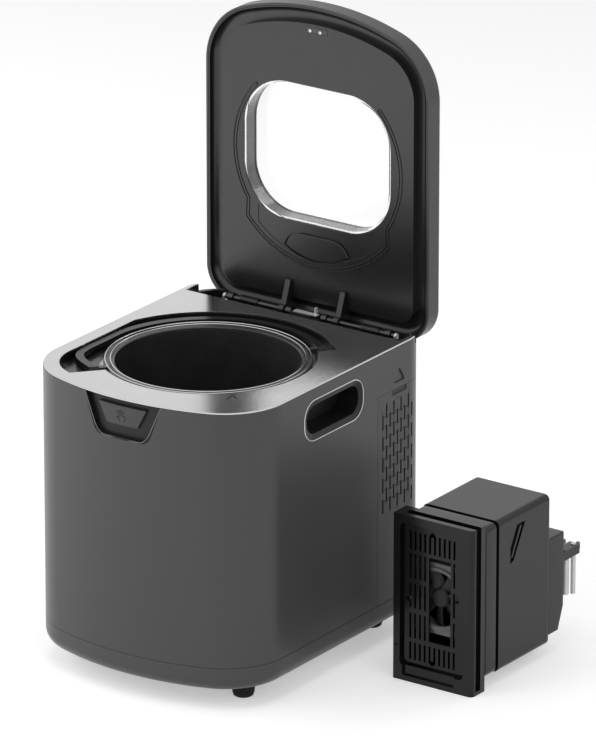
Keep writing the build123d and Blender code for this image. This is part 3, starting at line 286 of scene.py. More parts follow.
# ---------------------------------------------------------------- motor, gearbox and chassis
# A steel plate on four posts carries the cast gearbox and, under it, the drive motor: a drawn can
# with a ring of twelve raised cooling ribs, a rolled seam and a moulded end cap.
plate_colour = (0.42, 0.42, 0.44, 1)
cast_dark = (0.40, 0.40, 0.41, 1)
cast_light = (0.54, 0.54, 0.55, 1)
motor_slots = 12
bolt_radius = 3.2 * mm
bolt_height = 2.4 * mm

plated = Finish("zinc_plate", Metallic=1.0)
plated_haze = plated.noise(14 * mm)
plated.set(Base_Color=plated.blend(plated_haze, plate_colour, (0.50, 0.50, 0.49, 1)),
           Roughness=0.27 + 0.14 * plated.noise(5 * mm),
           Normal=plated.bump(plated.noise(0.5 * mm), 0.006 * mm, 0.3))
cast = Finish("cast_aluminium", Metallic=1.0)
cast_grain = cast.noise(0.7 * mm)
cast.set(Base_Color=cast.blend(cast.noise(12 * mm), cast_dark, cast_light),
         Roughness=0.42 + 0.15 * cast.noise(3 * mm),
         Normal=cast.bump(cast_grain, 0.05 * mm, 0.5))
spun = Finish("spun_aluminium", Metallic=1.0)
spun_rings = spun.node("TexWave", {"wave_type": "BANDS", "bands_direction": "Z"},
                       Vector=spun.place(), Scale=700.0, Distortion=1.5, Detail=2.0)
spun.set(Base_Color=spun.blend(spun.noise(20 * mm), (0.50, 0.50, 0.51, 1), (0.60, 0.60, 0.61, 1)),
         Roughness=0.26 + 0.12 * spun_rings,
         Normal=spun.bump(spun_rings, 0.01 * mm, 0.3))
dress(plated, 0.2 * mm, "motor_plate", "chassis_posts", "output_gear", "motor_pinion", "drive_shaft")
dress(cast, 0.5 * mm, "gearbox")
dress(spun, 0.3 * mm, "chamber_liner", "heater_plate")


def socket_bolt(mesh, place, radius=bolt_radius, height=bolt_height):
    """A pan-headed bolt with a round socket, its seat at the origin of place."""
    turned(mesh, [(0, height * 0.35), (radius * 0.42, height * 0.35), (radius * 0.48, height),
                  (radius * 0.80, height), (radius * 0.95, height * 0.75), (radius, height * 0.3),
                  (radius, 0), (0, 0)], place, 24)


motor_low, motor_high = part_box("drive_motor")
motor_middle = Vector(((motor_low[0] + motor_high[0]) / 2, (motor_low[1] + motor_high[1]) / 2, 0))
motor_radius = (motor_high[0] - motor_low[0]) / 2
can_low = motor_low[2] + 7.0 * mm
motor = bmesh.new()
turned(motor, [(4.5 * mm, motor_high[2]), (motor_radius, motor_high[2]),
               (motor_radius, motor_high[2] - 2.0 * mm),
               (motor_radius - 0.7 * mm, motor_high[2] - 2.4 * mm),
               (motor_radius - 0.7 * mm, can_low + 9 * mm),
               (motor_radius, can_low + 8.6 * mm), (motor_radius, can_low + 6.4 * mm),
               (motor_radius - 0.7 * mm, can_low + 6.0 * mm), (motor_radius - 0.7 * mm, can_low + 3 * mm),
               (motor_radius - 3 * mm, can_low), (12 * mm, can_low), (11 * mm, motor_low[2] + 1 * mm),
               (9.5 * mm, motor_low[2]), (0, motor_low[2])],
       Matrix.Translation(motor_middle), 64)
for index in range(motor_slots):
    turn = Matrix.Rotation(index * 2 * math.pi / motor_slots, 4, "Z")
    rib = Matrix.Diagonal((1.4 * mm, 3.0 * mm, 22 * mm, 1))
    seat = Matrix.Translation((motor_radius - 0.7 * mm, 0, can_low + 22 * mm))
    bmesh.ops.create_cube(motor, size=1, matrix=Matrix.Translation(motor_middle) @ turn @ seat @ rib)
build("ribbed_motor", motor, plated, "housing", ["drive_motor"], 0.25 * mm)

bolts = bmesh.new()
gearbox_low, gearbox_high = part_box("gearbox")
for x in (gearbox_low[0] + 6 * mm, gearbox_high[0] - 6 * mm):
    for y in (gearbox_low[1] + 6 * mm, gearbox_high[1] - 6 * mm):
        socket_bolt(bolts, Matrix.Translation((x, y, gearbox_high[2])))
build("gearbox_bolts", bolts, plated, "housing")

# ---------------------------------------------------------------- insulation and exhaust duct
# Needled felt is wrapped round the chamber to keep its heat in; the black duct stub leads the moist
# air back to the filter bay.
felt_dark = (0.35, 0.33, 0.28, 1)
felt_light = (0.52, 0.50, 0.44, 1)
felt_fibre = 0.5 * mm

felt = Finish("felt", Sheen_Weight=0.3)
fibres = felt.noise(felt_fibre, detail=5, roughness=0.7)
felt.set(Base_Color=felt.blend(felt.noise(3 * mm) * fibres, felt_dark, felt_light),
         Roughness=0.9 + 0.08 * felt.noise(3 * mm),
         Normal=felt.bump(fibres, 0.15 * mm, 0.8))
dress(felt, 0.5 * mm, "insulation_sleeve")
inner = Finish("inner_black", Specular_IOR_Level=0.4)
inner.set(Base_Color=inner.blend(inner.noise(15 * mm), (0.012, 0.012, 0.0125, 1), (0.022, 0.022, 0.023, 1)),
          Roughness=0.5 + 0.1 * inner.noise(7 * mm),
          Normal=inner.bump(inner.noise(0.5 * mm), 0.02 * mm, 0.3))
dress(inner, 0.3 * mm, "exhaust_duct", "filter_bay", "power_inlet", "latch_magnet")

# ---------------------------------------------------------------- circuit boards
# A main board lies on brass spacers in the pan, with its wound transformer, relay and capacitors, and
# a small one with the tact switch stands behind the start button.
part_top = 24.0 * mm

board = Finish("solder_mask", Coat_Weight=0.3, Coat_Roughness=0.15)
tracks = board.node("TexWave", {"wave_type": "BANDS", "bands_direction": "DIAGONAL"},
                    Vector=board.place(), Scale=110.0, Distortion=6.0, Detail=1.0)
board.set(Base_Color=board.blend(tracks > 0.7, (0.008, 0.085, 0.035, 1), (0.03, 0.17, 0.08, 1)),
          Roughness=0.28 + 0.1 * board.noise(3 * mm),
          Normal=board.bump(tracks > 0.7, 0.03 * mm, 0.5))
dress(board, 0.1 * mm, "circuit_boards")
brass = Finish("brass", Metallic=1.0)
brass.set(Base_Color=brass.blend(brass.noise(4 * mm), (0.60, 0.42, 0.16, 1), (0.70, 0.50, 0.22, 1)),
          Roughness=0.24 + 0.1 * brass.noise(2 * mm))
dress(brass, 0.1 * mm, "board_spacers")

parts_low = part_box("board_parts")[0]
parts = bmesh.new()


def brick(mesh, low, high):
    """A box between two corners."""
    low, high = Vector(low), Vector(high)
    size = high - low
    place = Matrix.Translation((low + high) / 2) @ Matrix.Diagonal((*size, 1))
    bmesh.ops.create_cube(mesh, size=1, matrix=place)


core_x = parts_low[0]
core_y = parts_low[1] + 4 * mm
base = parts_low[2]
sheets = 14
for sheet in range(sheets):
    x = core_x + sheet * 2 * mm
    for z0, z1 in ((0, 5), (19, 24)):
        brick(parts, (x, core_y, base + z0 * mm), (x + 1.6 * mm, core_y + 28 * mm, base + z1 * mm))
    for y0 in (0, 23):
        brick(parts, (x, core_y + y0 * mm, base), (x + 1.6 * mm, core_y + (y0 + 5) * mm, base + part_top))
turned(parts, [(4 * mm, 5.4 * mm), (9 * mm, 5.4 * mm), (9.4 * mm, 6 * mm), (9.4 * mm, 18 * mm),
               (9 * mm, 18.6 * mm), (4 * mm, 18.6 * mm)],
       Matrix.Translation((core_x + 14 * mm, core_y + 14 * mm, base)), 32)
brick(parts, (22 * mm, parts_low[1], base), (40 * mm, parts_low[1] + 14 * mm, base + 16 * mm))
for radius, height, x, y in ((6, 22, 14, 24), (6, 22, 29, 32), (4, 14, 40, 24)):
    turned(parts, [(0, height * mm - 0.4 * mm), ((radius - 1) * mm, height * mm - 0.4 * mm),
                   ((radius - 0.8) * mm, height * mm), (radius * mm, (height - 0.8) * mm),
                   (radius * mm, (height - 2.5) * mm), ((radius - 0.5) * mm, (height - 3) * mm),
                   (radius * mm, (height - 3.5) * mm), (radius * mm, 0), (0, 0)],
           Matrix.Translation((x * mm, parts_low[1] + y * mm, base)), 32)
build("board_components", parts, inner, "housing", ["board_parts"], 0.15 * mm)

# ---------------------------------------------------------------- deck
# The deck closes the top of the shroud, with a smooth metallic coat on its top face. A tray for the bail
# and the trough of the hinge are sunk in it; every surface more than tray_edge below the top face is
# coloured black and non-metallic by its height. An arrowhead marks where the bucket's lug goes.
deck_coat = (0.62, 0.62, 0.625, 1)
deck_coat_worn = (0.56, 0.56, 0.565, 1)
tray_black = (0.010, 0.010, 0.0105, 1)
tray_edge = 1.2 * mm
mark_width = 1.3 * mm
mark_spot = Vector((86 * mm, -102 * mm, 0))
mark_points = ((-0.3, -8.1), (-3.4, 4.8), (7.0, -1.6))

deck_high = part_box("top_deck")[1]
deck_top = deck_high[2]
deck = Finish("deck_metal")
# A mask by height: the top face gets the metallic coat, everything sunk below it is coloured black.
top_face_mask = deck.node("MapRange", {"interpolation_type": "SMOOTHSTEP"},
                       deck.node("SeparateXYZ", None, deck.node("TexCoord", output="Object"), output=2),
                       deck_top - tray_edge - 0.3 * mm, deck_top - tray_edge)
deck.set(Base_Color=deck.blend(top_face_mask, tray_black,
                               deck.blend(deck.noise(25 * mm), deck_coat, deck_coat_worn)),
         Metallic=top_face_mask,
         Roughness=0.15 + 0.06 * deck.noise(30 * mm) + 0.03 * deck.noise(0.6 * mm),
         Normal=deck.bump(deck.noise(1.6 * mm), 0.003 * mm, 0.2))
dress(deck, 0.4 * mm, "top_deck")
ink = Finish("dark_ink", Specular_IOR_Level=0.2)
ink.set(Base_Color=ink.blend(ink.noise(1 * mm), (0.004, 0.004, 0.004, 1), (0.008, 0.008, 0.008, 1)),
        Roughness=0.5 + 0.1 * ink.noise(2 * mm))


def strokes(name, lines, width, finish, body, closed=False):
    """Thin lines that lie half sunk in a surface, each a run of points."""
    curve = bpy.data.curves.new(name, "CURVE")
    curve.dimensions = "3D"
    curve.bevel_depth = width / 2
    curve.bevel_resolution = 3
    curve.use_fill_caps = True
    for line in lines:
        spline = curve.splines.new("POLY")
        spline.points.add(len(line) - 1)
        for spot, place in zip(spline.points, line):
            spot.co = (*place, 1)
        spline.use_cyclic_u = closed
    curve.materials.append(finish.material)
    piece = bpy.data.objects.new(name, curve)
    bpy.context.scene.collection.objects.link(piece)
    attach(piece, body)
    return piece


mark_spot.z = deck_top - 0.2 * mm
strokes("deck_mark", [[mark_spot + Vector((x * mm, y * mm, 0)) for x, y in mark_points]],
        mark_width, ink, "housing")

# ---------------------------------------------------------------- carry slots
# A bevelled cup is pushed into each side of the shroud as a hand grip. It is moulded in black ABS
# with a fine spark-eroded grain; a thin bright metal line laid round its outer lip is a painted highlight
# for the light its bevelled edge catches.
trim_dark = (0.006, 0.006, 0.0065, 1)
trim_light = (0.010, 0.010, 0.011, 1)
trim_grain = 0.45 * mm
slot_length = 101.0 * mm
slot_height = 43.0 * mm
slot_corner = slot_height / 2 - 3.5 * mm
slot_z = 274.0 * mm
slot_highlight_line = 1.1 * mm
corner_steps = 10

trim = Finish("black_trim", Specular_IOR_Level=0.35)
trim.set(Base_Color=trim.blend(trim.noise(25 * mm), trim_dark, trim_light),
         Roughness=0.36 + 0.12 * trim.noise(12 * mm),
         Normal=trim.bump(trim.noise(trim_grain, detail=4), 0.02 * mm, 0.35))
dress(trim, 0.4 * mm, "carry_handles")
# Painted highlight: a bright metal line round each slot's outer lip stands for the light on its bevel.
slot_highlight_metal = Finish("painted_highlight_lip", Metallic=1.0)
slot_highlight_metal.set(Base_Color=slot_highlight_metal.blend(slot_highlight_metal.noise(10 * mm), (0.70, 0.70, 0.71, 1),
                                         (0.80, 0.80, 0.81, 1)),
              Roughness=0.25 + 0.08 * slot_highlight_metal.noise(6 * mm))


def round_rectangle(width, height, corner):
    """The points of a rounded rectangle about the origin."""
    points = []
    for side_x, side_y, start in ((1, 1, 0), (-1, 1, 90), (-1, -1, 180), (1, -1, 270)):
        middle_x = side_x * (width / 2 - corner)
        middle_y = side_y * (height / 2 - corner)
        for step in range(corner_steps + 1):
            angle = math.radians(start + 90 * step / corner_steps)
            points.append((middle_x + corner * math.cos(angle), middle_y + corner * math.sin(angle)))
    return points


shell_low, shell_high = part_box("outer_shell")
lip_line = round_rectangle(slot_length - 1.2 * mm, slot_height - 1.2 * mm, slot_corner - 0.6 * mm)
for side, name in ((1, "right"), (-1, "left")):
    line = [Vector((side * (shell_high[0] - 0.35 * mm), y, slot_z + z)) for y, z in lip_line]
    strokes(f"slot_highlight_line_{name}", [line], slot_highlight_line, slot_highlight_metal, "housing", closed=True)

# ---------------------------------------------------------------- start button
# The start key sits in a sunk black surround under the front edge of the deck; a dim metal line laid round
# the surround is a painted highlight for the light on the shroud's cut edge. A hand that touches is printed
# on the key in thin dark lines; a coil spring and a tact switch are behind it.
key_bow = 274.0 * mm
icon_line = 0.55 * mm
icon_wide, icon_tall = 1.3, 0.88
key_dark = (0.040, 0.040, 0.041, 1)
bezel_highlight_lip = 0.8 * mm
bezel_highlight_width = 0.55 * mm

dress(trim, 0.4 * mm, "button_bezel")
key = Finish("key_black", Specular_IOR_Level=0.45)
key.set(Base_Color=key.blend(key.noise(12 * mm), key_dark, (0.050, 0.050, 0.051, 1)),
        Roughness=0.32 + 0.1 * key.noise(9 * mm),
        Normal=key.bump(key.noise(trim_grain, detail=4), 0.015 * mm, 0.3))
dress(key, 0.5 * mm, "start_button")
dress(plated, 0.05 * mm, "button_spring")
# Painted highlight: a dim metal line round the bezel stands for the light on the shroud's cut edge.
bezel_highlight_metal = Finish("painted_dim_highlight", Metallic=1.0)
bezel_highlight_metal.set(Base_Color=bezel_highlight_metal.blend(bezel_highlight_metal.noise(10 * mm), (0.26, 0.26, 0.265, 1),
                                     (0.34, 0.34, 0.345, 1)),
            Roughness=0.25 + 0.08 * bezel_highlight_metal.noise(6 * mm))
key_low, key_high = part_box("start_button")
key_middle = (key_low[2] + key_high[2]) / 2 - 0.8 * mm


def on_key(x, z):
    """A point of the key's bowed face, from its place in millimetres about the middle."""
    x, z = x * icon_wide * mm, z * icon_tall * mm
    return Vector((x, key_low[1] - 0.05 * mm + x ** 2 / (2 * key_bow), key_middle + z))


finger = [on_key(-1.2 + 1.0 * math.cos(math.radians(a)), 3.6 + 1.0 * math.sin(math.radians(a)))
          for a in range(180, -1, -30)]
knuckles = [on_key(1.8 + 1.6 * math.cos(math.radians(a)), -0.9 + 1.4 * math.sin(math.radians(a)))
            for a in range(90, -31, -30)]
hand = ([on_key(-1.4, -5.6), on_key(-3.0, -3.6), on_key(-4.4, -1.4), on_key(-3.9, -0.6), on_key(-2.2, -1.9)]
        + finger + [on_key(-0.2, 0.9)] + knuckles + [on_key(2.6, -5.6)])
ring = [on_key(-1.2 + 3.0 * math.cos(math.radians(a)), 3.6 + 3.0 * math.sin(math.radians(a)))
        for a in range(200, -21, -20)]
strokes("touch_icon", [hand, ring], icon_line, ink, "button")
bezel_low, bezel_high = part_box("button_bezel")


def on_front(x, z):
    """A point of the shroud's bowed front, from its place in metres."""
    return Vector((x, shell_low[1] + x ** 2 / (2 * key_bow) + 0.05 * mm, z))


bezel_half = (bezel_high[0] - bezel_low[0]) / 2
bezel_foot = bezel_half - 17.5 * mm
bezel_round = 9.0 * mm
slant_points = 9
slant_step = 4.0 * mm
slant = Vector((bezel_foot - bezel_half, 0, bezel_low[2] - bezel_high[2]))
slant.normalize()
edge = []
for step in range(slant_points):
    down = slant * (step * slant_step)
    edge.append((bezel_half + down.x - bezel_highlight_lip / 2, bezel_high[2] + down.z))
corner_start = edge[-1]
corner_end = (bezel_foot - bezel_round, bezel_low[2] + bezel_highlight_lip / 2)
corner = (bezel_foot - bezel_highlight_lip, bezel_low[2] + bezel_highlight_lip / 2)
for share in (0.2, 0.4, 0.6, 0.8, 1.0):
    first, middle, last = (1 - share) ** 2, 2 * share * (1 - share), share ** 2
    edge.append((first * corner_start[0] + middle * corner[0] + last * corner_end[0],
                 first * corner_start[1] + middle * corner[1] + last * corner_end[1]))
outline = [on_front(x, z) for x, z in edge] + [on_front(-x, z) for x, z in reversed(edge)]
strokes("bezel_highlight_lip", [outline], bezel_highlight_width, bezel_highlight_metal, "housing")

# ---------------------------------------------------------------- cover catches
# A push bar in each top corner of the rear cover lets it off the shroud; a thumb pressed into the
# small triangular hollow above finds it.
dress(trim, 0.3 * mm, "cover_catch_right", "cover_catch_left")

# ---------------------------------------------------------------- hinge
# Two steel rods in eared brackets carry the lid, each with a counterbalance spring. The black tubes
# of the rods end in bright caps. Between them the lid switch stands with its bright leaf spring.
cap_radius = 3.2 * mm

blued = Finish("black_oxide", Metallic=1.0)
blued.set(Base_Color=blued.blend(blued.noise(6 * mm), (0.075, 0.075, 0.077, 1), (0.11, 0.11, 0.112, 1)),
          Roughness=0.28 + 0.1 * blued.noise(5 * mm))
bright = Finish("bright_steel", Metallic=1.0)
bright.set(Base_Color=bright.blend(bright.noise(20 * mm), (0.62, 0.62, 0.63, 1), (0.70, 0.70, 0.71, 1)),
           Roughness=0.12 + 0.08 * bright.noise(8 * mm))
dress(blued, 0.25 * mm, "hinge_rods", "hinge_brackets")
dress(blued, 0.05 * mm, "hinge_springs")
dress(inner, 0.4 * mm, "lid_switch")
nickel = Finish("nickel", Metallic=0.45)
nickel.set(Base_Color=nickel.blend(nickel.noise(6 * mm), (0.58, 0.58, 0.58, 1), (0.70, 0.70, 0.70, 1)),
           Roughness=0.30 + 0.1 * nickel.noise(3 * mm))
dress(nickel, 0.1 * mm, "switch_spring")

rods_low, rods_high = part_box("hinge_rods")
hinge_y = (rods_low[1] + rods_high[1]) / 2
hinge_z = (rods_low[2] + rods_high[2]) / 2
caps = bmesh.new()
for side in (-1, 1):
    out = Matrix.Rotation(side * math.pi / 2, 4, "Y")
    turned(caps, [(0, -1.0 * mm), (cap_radius, -1.0 * mm), (cap_radius, 1.2 * mm),
                  (cap_radius - 0.7 * mm, 2.0 * mm), (1.4 * mm, 2.0 * mm), (1.1 * mm, 1.2 * mm),
                  (0, 1.2 * mm)],
           Matrix.Translation((side * rods_high[0], hinge_y, hinge_z)) @ out, 32)
build("rod_caps", caps, nickel, "housing")

bracket_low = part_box("hinge_brackets")[0]
bracket_screws = bmesh.new()
for x in (46 * mm, 80 * mm):
    for side in (-1, 1):
        spot = Matrix.Translation((side * x, hinge_y - 4.0 * mm, bracket_low[2] + 2.4 * mm))
        socket_bolt(bracket_screws, spot, 1.9 * mm, 1.3 * mm)
build("bracket_screws", bracket_screws, bright, "housing")

# ---------------------------------------------------------------- lid
# The lid is a painted skin over a satin black inner panel, screwed together round a clear
# polycarbonate window that is pulled into a deep rounded tray. Twin silicone ridges seal it over the
# bucket; behind them lies the vent cover. A steel striker at the front meets the latch magnet.
lid_dark = (0.008, 0.008, 0.0085, 1)
lid_light = (0.012, 0.012, 0.0125, 1)
window_tint = (0.985, 0.99, 0.99, 1)

dress(graphite, 0.5 * mm, "lid_shell")
lid_black = Finish("lid_black", Specular_IOR_Level=0.6, Coat_Weight=0.15, Coat_Roughness=0.16)
lid_black.set(Base_Color=lid_black.blend(lid_black.noise(40 * mm), lid_dark, lid_light),
              Roughness=0.26 + 0.07 * lid_black.noise(18 * mm),
              Normal=lid_black.bump(lid_black.noise(0.6 * mm), 0.008 * mm, 0.2))
dress(lid_black, 0.4 * mm, "lid_panel", "vent_cover", "hinge_arms", "vent_plate")
silicone = Finish("black_silicone", Specular_IOR_Level=0.5, Coat_Weight=0.2, Coat_Roughness=0.1)
silicone.set(Base_Color=silicone.blend(silicone.noise(10 * mm), (0.008, 0.008, 0.008, 1),
                                       (0.013, 0.013, 0.013, 1)),
             Roughness=0.22 + 0.1 * silicone.noise(6 * mm))
dress(silicone, 0.25 * mm, "lid_seal", "window_gasket")
clear = Finish("clear_polycarbonate", Base_Color=window_tint, Transmission_Weight=1.0, IOR=1.4)
clear.set(Roughness=0.01 + 0.02 * clear.noise(30 * mm))
dress(clear, 0.3 * mm, "lid_window")
dress(blued, 0.3 * mm, "lid_striker")

striker_low, striker_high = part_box("lid_striker")
face_y = striker_low[1]
striker_screws = bmesh.new()
for x in (-8 * mm, 4 * mm):
    seat = Matrix.Translation((x, face_y, (striker_low[2] + striker_high[2]) / 2))
    socket_bolt(striker_screws, seat @ Matrix.Rotation(math.pi / 2, 4, "X"), 1.8 * mm, 1.0 * mm)
build("striker_screws", striker_screws, bright, "lid")

# ---------------------------------------------------------------- bucket
# The lift-out bucket is a drawn aluminium pot with a speckled non-stick coat, which covers its rolled rim
# too;
# two thin bright steel rings laid on the rim are painted highlights for the light on its rolled edges. Its
# lugs carry the bail, a gloss black moulded half ring with a swan neck at its front end.
pot_dark = (0.010, 0.010, 0.010, 1)
pot_light = (0.028, 0.028, 0.029, 1)
pot_speck = (0.16, 0.16, 0.16, 1)

coated = Finish("non_stick", Coat_Weight=0.25, Coat_Roughness=0.25)
specks = coated.noise(0.5 * mm, detail=1) > 0.70
pot_black = coated.blend(coated.noise(30 * mm), pot_dark, pot_light)
coated.set(Base_Color=coated.blend(specks, pot_black, pot_speck),
           Roughness=0.30 + 0.1 * coated.noise(9 * mm),
           Normal=coated.bump(coated.noise(0.8 * mm), 0.01 * mm, 0.3))
dress(coated, 0.3 * mm, "bucket")
# Painted highlights: two bright steel rings laid on the rim stand for the light on its rolled edges.
rim_highlight_width = 1.3 * mm
rim_steps = 72

dress(coated, 0.3 * mm, "bucket_rim")
rim_low, rim_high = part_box("bucket_rim")
mouth = Vector(((rim_low[0] + rim_high[0]) / 2, (rim_low[1] + rim_high[1]) / 2, rim_high[2] - 0.3 * mm))
rings = []
for radius in (95.6 * mm, 101.0 * mm):
    rings.append([mouth + Vector((radius * math.cos(2 * math.pi * step / rim_steps),
                                  radius * math.sin(2 * math.pi * step / rim_steps), 0))
                  for step in range(rim_steps)])
strokes("rim_highlight_lines", rings, rim_highlight_width, bright, "bucket", closed=True)
dress(rubber, 0.2 * mm, "bucket_bush")
gloss = Finish("gloss_black", Specular_IOR_Level=0.25, Coat_Weight=0.1, Coat_Roughness=0.05)
gloss.set(Base_Color=gloss.blend(gloss.noise(20 * mm), (0.006, 0.006, 0.0065, 1), (0.010, 0.010, 0.0105, 1)),
          Roughness=0.20 + 0.08 * gloss.noise(9 * mm))
dress(gloss, 1.5 * mm, "bail_handle")

# ---------------------------------------------------------------- stirrer
# A cast stirrer turns on the spindle in the bucket's floor. Its three blades run close to the floor
# and turn up along the wall; it is finished in bare cast aluminium all over.
dress(cast, 0.8 * mm, "stirrer")
dress(plated, 0.3 * mm, "stirrer_spindle")

# ---------------------------------------------------------------- cartridge case
# The filter cartridge is a deep two-part case of glossy black ABS behind a wide front frame, with a
# finger grip sunk in its side and an outlet box at its back that docks in the filter bay.
case_dark = (0.005, 0.005, 0.0055, 1)
case_light = (0.008, 0.008, 0.0085, 1)

case = Finish("cartridge_black", Specular_IOR_Level=0.25, Coat_Weight=0.1, Coat_Roughness=0.08)
case.set(Base_Color=case.blend(case.noise(30 * mm), case_dark, case_light),
         Roughness=0.13 + 0.06 * case.noise(14 * mm),
         Normal=case.bump(case.noise(0.6 * mm), 0.003 * mm, 0.15))
dress(case, 0.5 * mm, "cartridge_flange", "cartridge_grille")
dress(case, 1.2 * mm, "case_front", "outlet_box")
dress(case, 0.8 * mm, "case_rear")
dress(case, 0.4 * mm, "valve_block")
dress(nickel, 0.3 * mm, "valve_pins")
dress(blued, 0.15 * mm, "cartridge_screws")

# ---------------------------------------------------------------- filter media
# Charcoal cloth folded into deep upright pleats in a card frame fills the case.
pleat_pitch = 4.5 * mm
pleat_cloth = 0.6 * mm
card = 1.0 * mm

media = Finish("charcoal_media")
grains = media.noise(0.5 * mm, detail=5, roughness=0.7)
media.set(Base_Color=media.blend(grains, (0.008, 0.008, 0.008, 1), (0.045, 0.045, 0.045, 1)),
          Roughness=0.85 + 0.1 * media.noise(2 * mm),
          Normal=media.bump(grains, 0.15 * mm, 0.8))
media_low, media_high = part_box("filter_block")
pleats = bmesh.new()
count = int((media_high[0] - media_low[0] - 2 * card) / pleat_pitch)
row = []
for index in range(2 * count + 1):
    x = media_low[0] + card + index * pleat_pitch / 2
    y = media_low[1] + 1.0 * mm if index % 2 else media_high[1] - 1.0 * mm
    row.append(pleats.verts.new((x, y, media_low[2] + card)))
folds = [pleats.edges.new(pair) for pair in zip(row, row[1:])]
raised = bmesh.ops.extrude_edge_only(pleats, edges=folds)["geom"]
bmesh.ops.translate(pleats, vec=(0, 0, media_high[2] - media_low[2] - 2 * card),
                    verts=[part for part in raised if isinstance(part, bmesh.types.BMVert)])
bmesh.ops.solidify(pleats, geom=pleats.faces[:], thickness=pleat_cloth)
brick(pleats, media_low, (media_low[0] + card, media_high[1], media_high[2]))
brick(pleats, (media_high[0] - card, media_low[1], media_low[2]), media_high)
brick(pleats, media_low, (media_high[0], media_high[1], media_low[2] + card))
brick(pleats, (media_low[0], media_low[1], media_high[2] - card), media_high)
build("pleated_media", pleats, media, "cartridge", ["filter_block"])

# ---------------------------------------------------------------- fan
# A seven-bladed axial fan pulls air through the grille. Its square frame has a turned inlet ring
# with fine steps, seen through the tall opening, and four screws in the corners.
fan_ring = 33.0 * mm
ring_steps = 4
blade_count = 7
hub_radius = 10.0 * mm
tip_radius = 30.5 * mm
blade_chord = 13.0 * mm
blade_pitch = 33.0
blade_thick = 1.2 * mm
ring_grey_and_highlight = (0.11, 0.11, 0.112, 1)

# The frame's and ring's grey is lightened above the moulding's own tone: part real grey, part painted
# highlight for the light on the ring's fine steps.
moulded = Finish("moulded_grey_highlit", Coat_Weight=0.2, Coat_Roughness=0.2)
moulded.set(Base_Color=moulded.blend(moulded.noise(9 * mm), ring_grey_and_highlight, (0.14, 0.14, 0.142, 1)),
            Roughness=0.36 + 0.1 * moulded.noise(6 * mm))
dress(moulded, 0.4 * mm, "fan_frame")

fan_low, fan_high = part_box("fan_frame")
fan_x = (fan_low[0] + fan_high[0]) / 2
fan_z = (fan_low[2] + fan_high[2]) / 2
facing = Matrix.Translation((fan_x, fan_low[1], fan_z)) @ Matrix.Rotation(math.pi / 2, 4, "X")
inlet = bmesh.new()
steps = [(fan_ring - 0.2 * mm, 0)]
for step in range(ring_steps):
    radius = fan_ring - 0.2 * mm - step * 1.1 * mm
    steps += [(radius, 1.9 * mm - step * 0.4 * mm), (radius - 0.8 * mm, 1.9 * mm - step * 0.4 * mm)]
steps += [(fan_ring - 4.6 * mm, -2.0 * mm), (fan_ring - 0.2 * mm, -2.0 * mm), (fan_ring - 0.2 * mm, 0)]
turned(inlet, steps, facing, 64)
build("fan_inlet_ring", inlet, moulded, "cartridge", width=0.15 * mm)

rotor = bmesh.new()
hub_front = -2.0 * mm
turned(rotor, [(0, hub_front), (hub_radius - 2.0 * mm, hub_front), (hub_radius, hub_front - 2.0 * mm),
               (hub_radius, hub_front - 9.5 * mm), (hub_radius - 1.5 * mm, hub_front - 9.5 * mm),
               (hub_radius - 1.5 * mm, hub_front - 3.0 * mm), (1.5 * mm, hub_front - 3.0 * mm),
               (1.5 * mm, hub_front - 13.0 * mm), (0, hub_front - 13.0 * mm)], facing, 48)
spans, chords = 6, 5
for index in range(blade_count):
    base_angle = index * 2 * math.pi / blade_count
    sheet = bmesh.ops.create_grid(rotor, x_segments=chords, y_segments=spans, size=0.5)["verts"]
    for point in sheet:
        share = point.co.y + 0.5
        along = point.co.x * blade_chord * (1 - 0.15 * share)
        radius = hub_radius - 0.4 * mm + (tip_radius - hub_radius) * share
        pitch = math.radians(blade_pitch - 9.0 * share)
        camber = 0.9 * mm * (1 - (2 * point.co.x) ** 2)
        angle = base_angle + along * math.cos(pitch) / radius + 0.18 * share
        depth = hub_front - 5.0 * mm + along * math.sin(pitch) * 0.9 + camber
        point.co = facing @ Vector((radius * math.cos(angle), radius * math.sin(angle), depth))
    faces = list(dict.fromkeys(face for point in sheet for face in point.link_faces))
    bmesh.ops.solidify(rotor, geom=faces, thickness=blade_thick)
build("swept_fan", rotor, inner, "fan", ["fan_rotor"], 0.1 * mm)

fan_screws = bmesh.new()
for x in (fan_low[0] + 3.6 * mm, fan_high[0] - 3.6 * mm):
    for z in (fan_low[2] + 3.6 * mm, fan_high[2] - 3.6 * mm):
        spot = Matrix.Translation((x, fan_high[1], z)) @ Matrix.Rotation(-math.pi / 2, 4, "X")
        socket_bolt(fan_screws, spot, 1.8 * mm, 1.2 * mm)
build("fan_screws", fan_screws, plated, "cartridge")

# ---------------------------------------------------------------- studio
# A pale floor runs into a pale surround. The eye, polished metal and clear glass all see both as plain
# white, and everything else is lit by their even glow and by four soft boxes round the object and over it.
# The boxes stay out of mirrors, where their light would be added to a surround that is white already.
floor_reach = 12.0
floor_white = (0.8, 0.8, 0.8, 1)
floor_glow = 0.42
even_light = 0.35


def sees_background(finish):
    """One for the rays that look at the background: from the camera, from metal and through glass."""
    seen = finish.node("LightPath", output="Is Camera Ray")
    seen = seen.math("MAXIMUM", seen, finish.node("LightPath", output="Is Glossy Ray"))
    return seen.math("MAXIMUM", seen, finish.node("LightPath", output="Is Transmission Ray"))


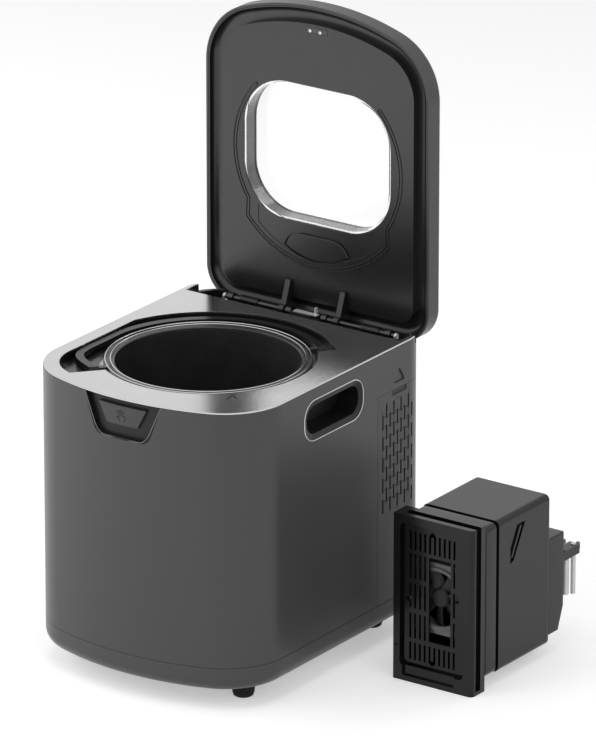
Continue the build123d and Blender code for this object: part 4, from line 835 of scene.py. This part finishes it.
floor_mesh = bmesh.new()
bmesh.ops.create_grid(floor_mesh, x_segments=1, y_segments=1, size=floor_reach)
floor_data = bpy.data.meshes.new("floor")
floor_mesh.to_mesh(floor_data)
floor = bpy.data.objects.new("floor", floor_data)
bpy.context.scene.collection.objects.link(floor)
pale = Finish("pale_floor", Base_Color=floor_white, Roughness=0.9, Emission_Strength=1.0)
pale.set(Emission_Color=pale.blend(sees_background(pale), (0, 0, 0, 1),
                                   (floor_glow, floor_glow, floor_glow, 1)))
floor.data.materials.append(pale.material)


class Surround(Finish):
    """The world round the object, drawn with the same nodes as a finish."""

    def __init__(self, world):
        world.use_nodes = True
        self.tree = world.node_tree
        self.shader = self.tree.nodes["Background"]


world = bpy.data.worlds.new("surround")
bpy.context.scene.world = world
sky = Surround(world)
sky.set(Color=sky.blend(sees_background(sky), (even_light, even_light, even_light, 1), (1, 1, 1, 1)),
        Strength=1.0)


def softbox(name, azimuth, elevation, away, width, height, power, aim=Vector((0, 0, 0.25))):
    """A rectangular lamp round the object; azimuth is counted from the front towards the right."""
    lamp = bpy.data.lights.new(name, "AREA")
    lamp.shape = "RECTANGLE"
    lamp.size = width
    lamp.size_y = height
    lamp.energy = power
    turn, lift = math.radians(azimuth), math.radians(elevation)
    out = Vector((math.sin(turn) * math.cos(lift), -math.cos(turn) * math.cos(lift), math.sin(lift)))
    holder = bpy.data.objects.new(name, lamp)
    facing_in = out.to_track_quat("Z", "Y").to_matrix().to_4x4()
    holder.matrix_world = Matrix.Translation(aim + out * away) @ facing_in
    bpy.context.scene.collection.objects.link(holder)
    holder.visible_glossy = False


softbox("left_box", -60, 20, 1.8, 3.4, 1.6, 34)
softbox("right_box", 75, 25, 2.0, 1.6, 1.6, 9)
softbox("rear_box", 165, 30, 2.4, 1.0, 1.4, 6)
softbox("top_box", 0, 80, 2.2, 1.6, 1.6, 13)

view_height = 0.7287
camera_away = 8.333
camera_turn = math.radians(34.94)
camera_lift = math.radians(20.34)
aim_height = 0.164
aim_right = 0.0755
aim_up = 0.1150
sensor = 36
back = Vector((math.sin(camera_turn) * math.cos(camera_lift),
               -math.cos(camera_turn) * math.cos(camera_lift), math.sin(camera_lift)))
right = Vector((math.cos(camera_turn), math.sin(camera_turn), 0))
up = back.cross(right)
aim = Vector((0, 0, aim_height)) + aim_right * right + aim_up * up
lens = bpy.data.cameras.new("camera")
lens.sensor_width = sensor
lens.lens = sensor * camera_away / view_height
lens.clip_end = 40
camera = bpy.data.objects.new("camera", lens)
facing_out = (-back).to_track_quat("-Z", "Y").to_matrix().to_4x4()
camera.matrix_world = Matrix.Translation(aim + camera_away * back) @ facing_out
bpy.context.scene.collection.objects.link(camera)
bpy.context.scene.camera = camera
bpy.context.scene.view_settings.view_transform = "Standard"
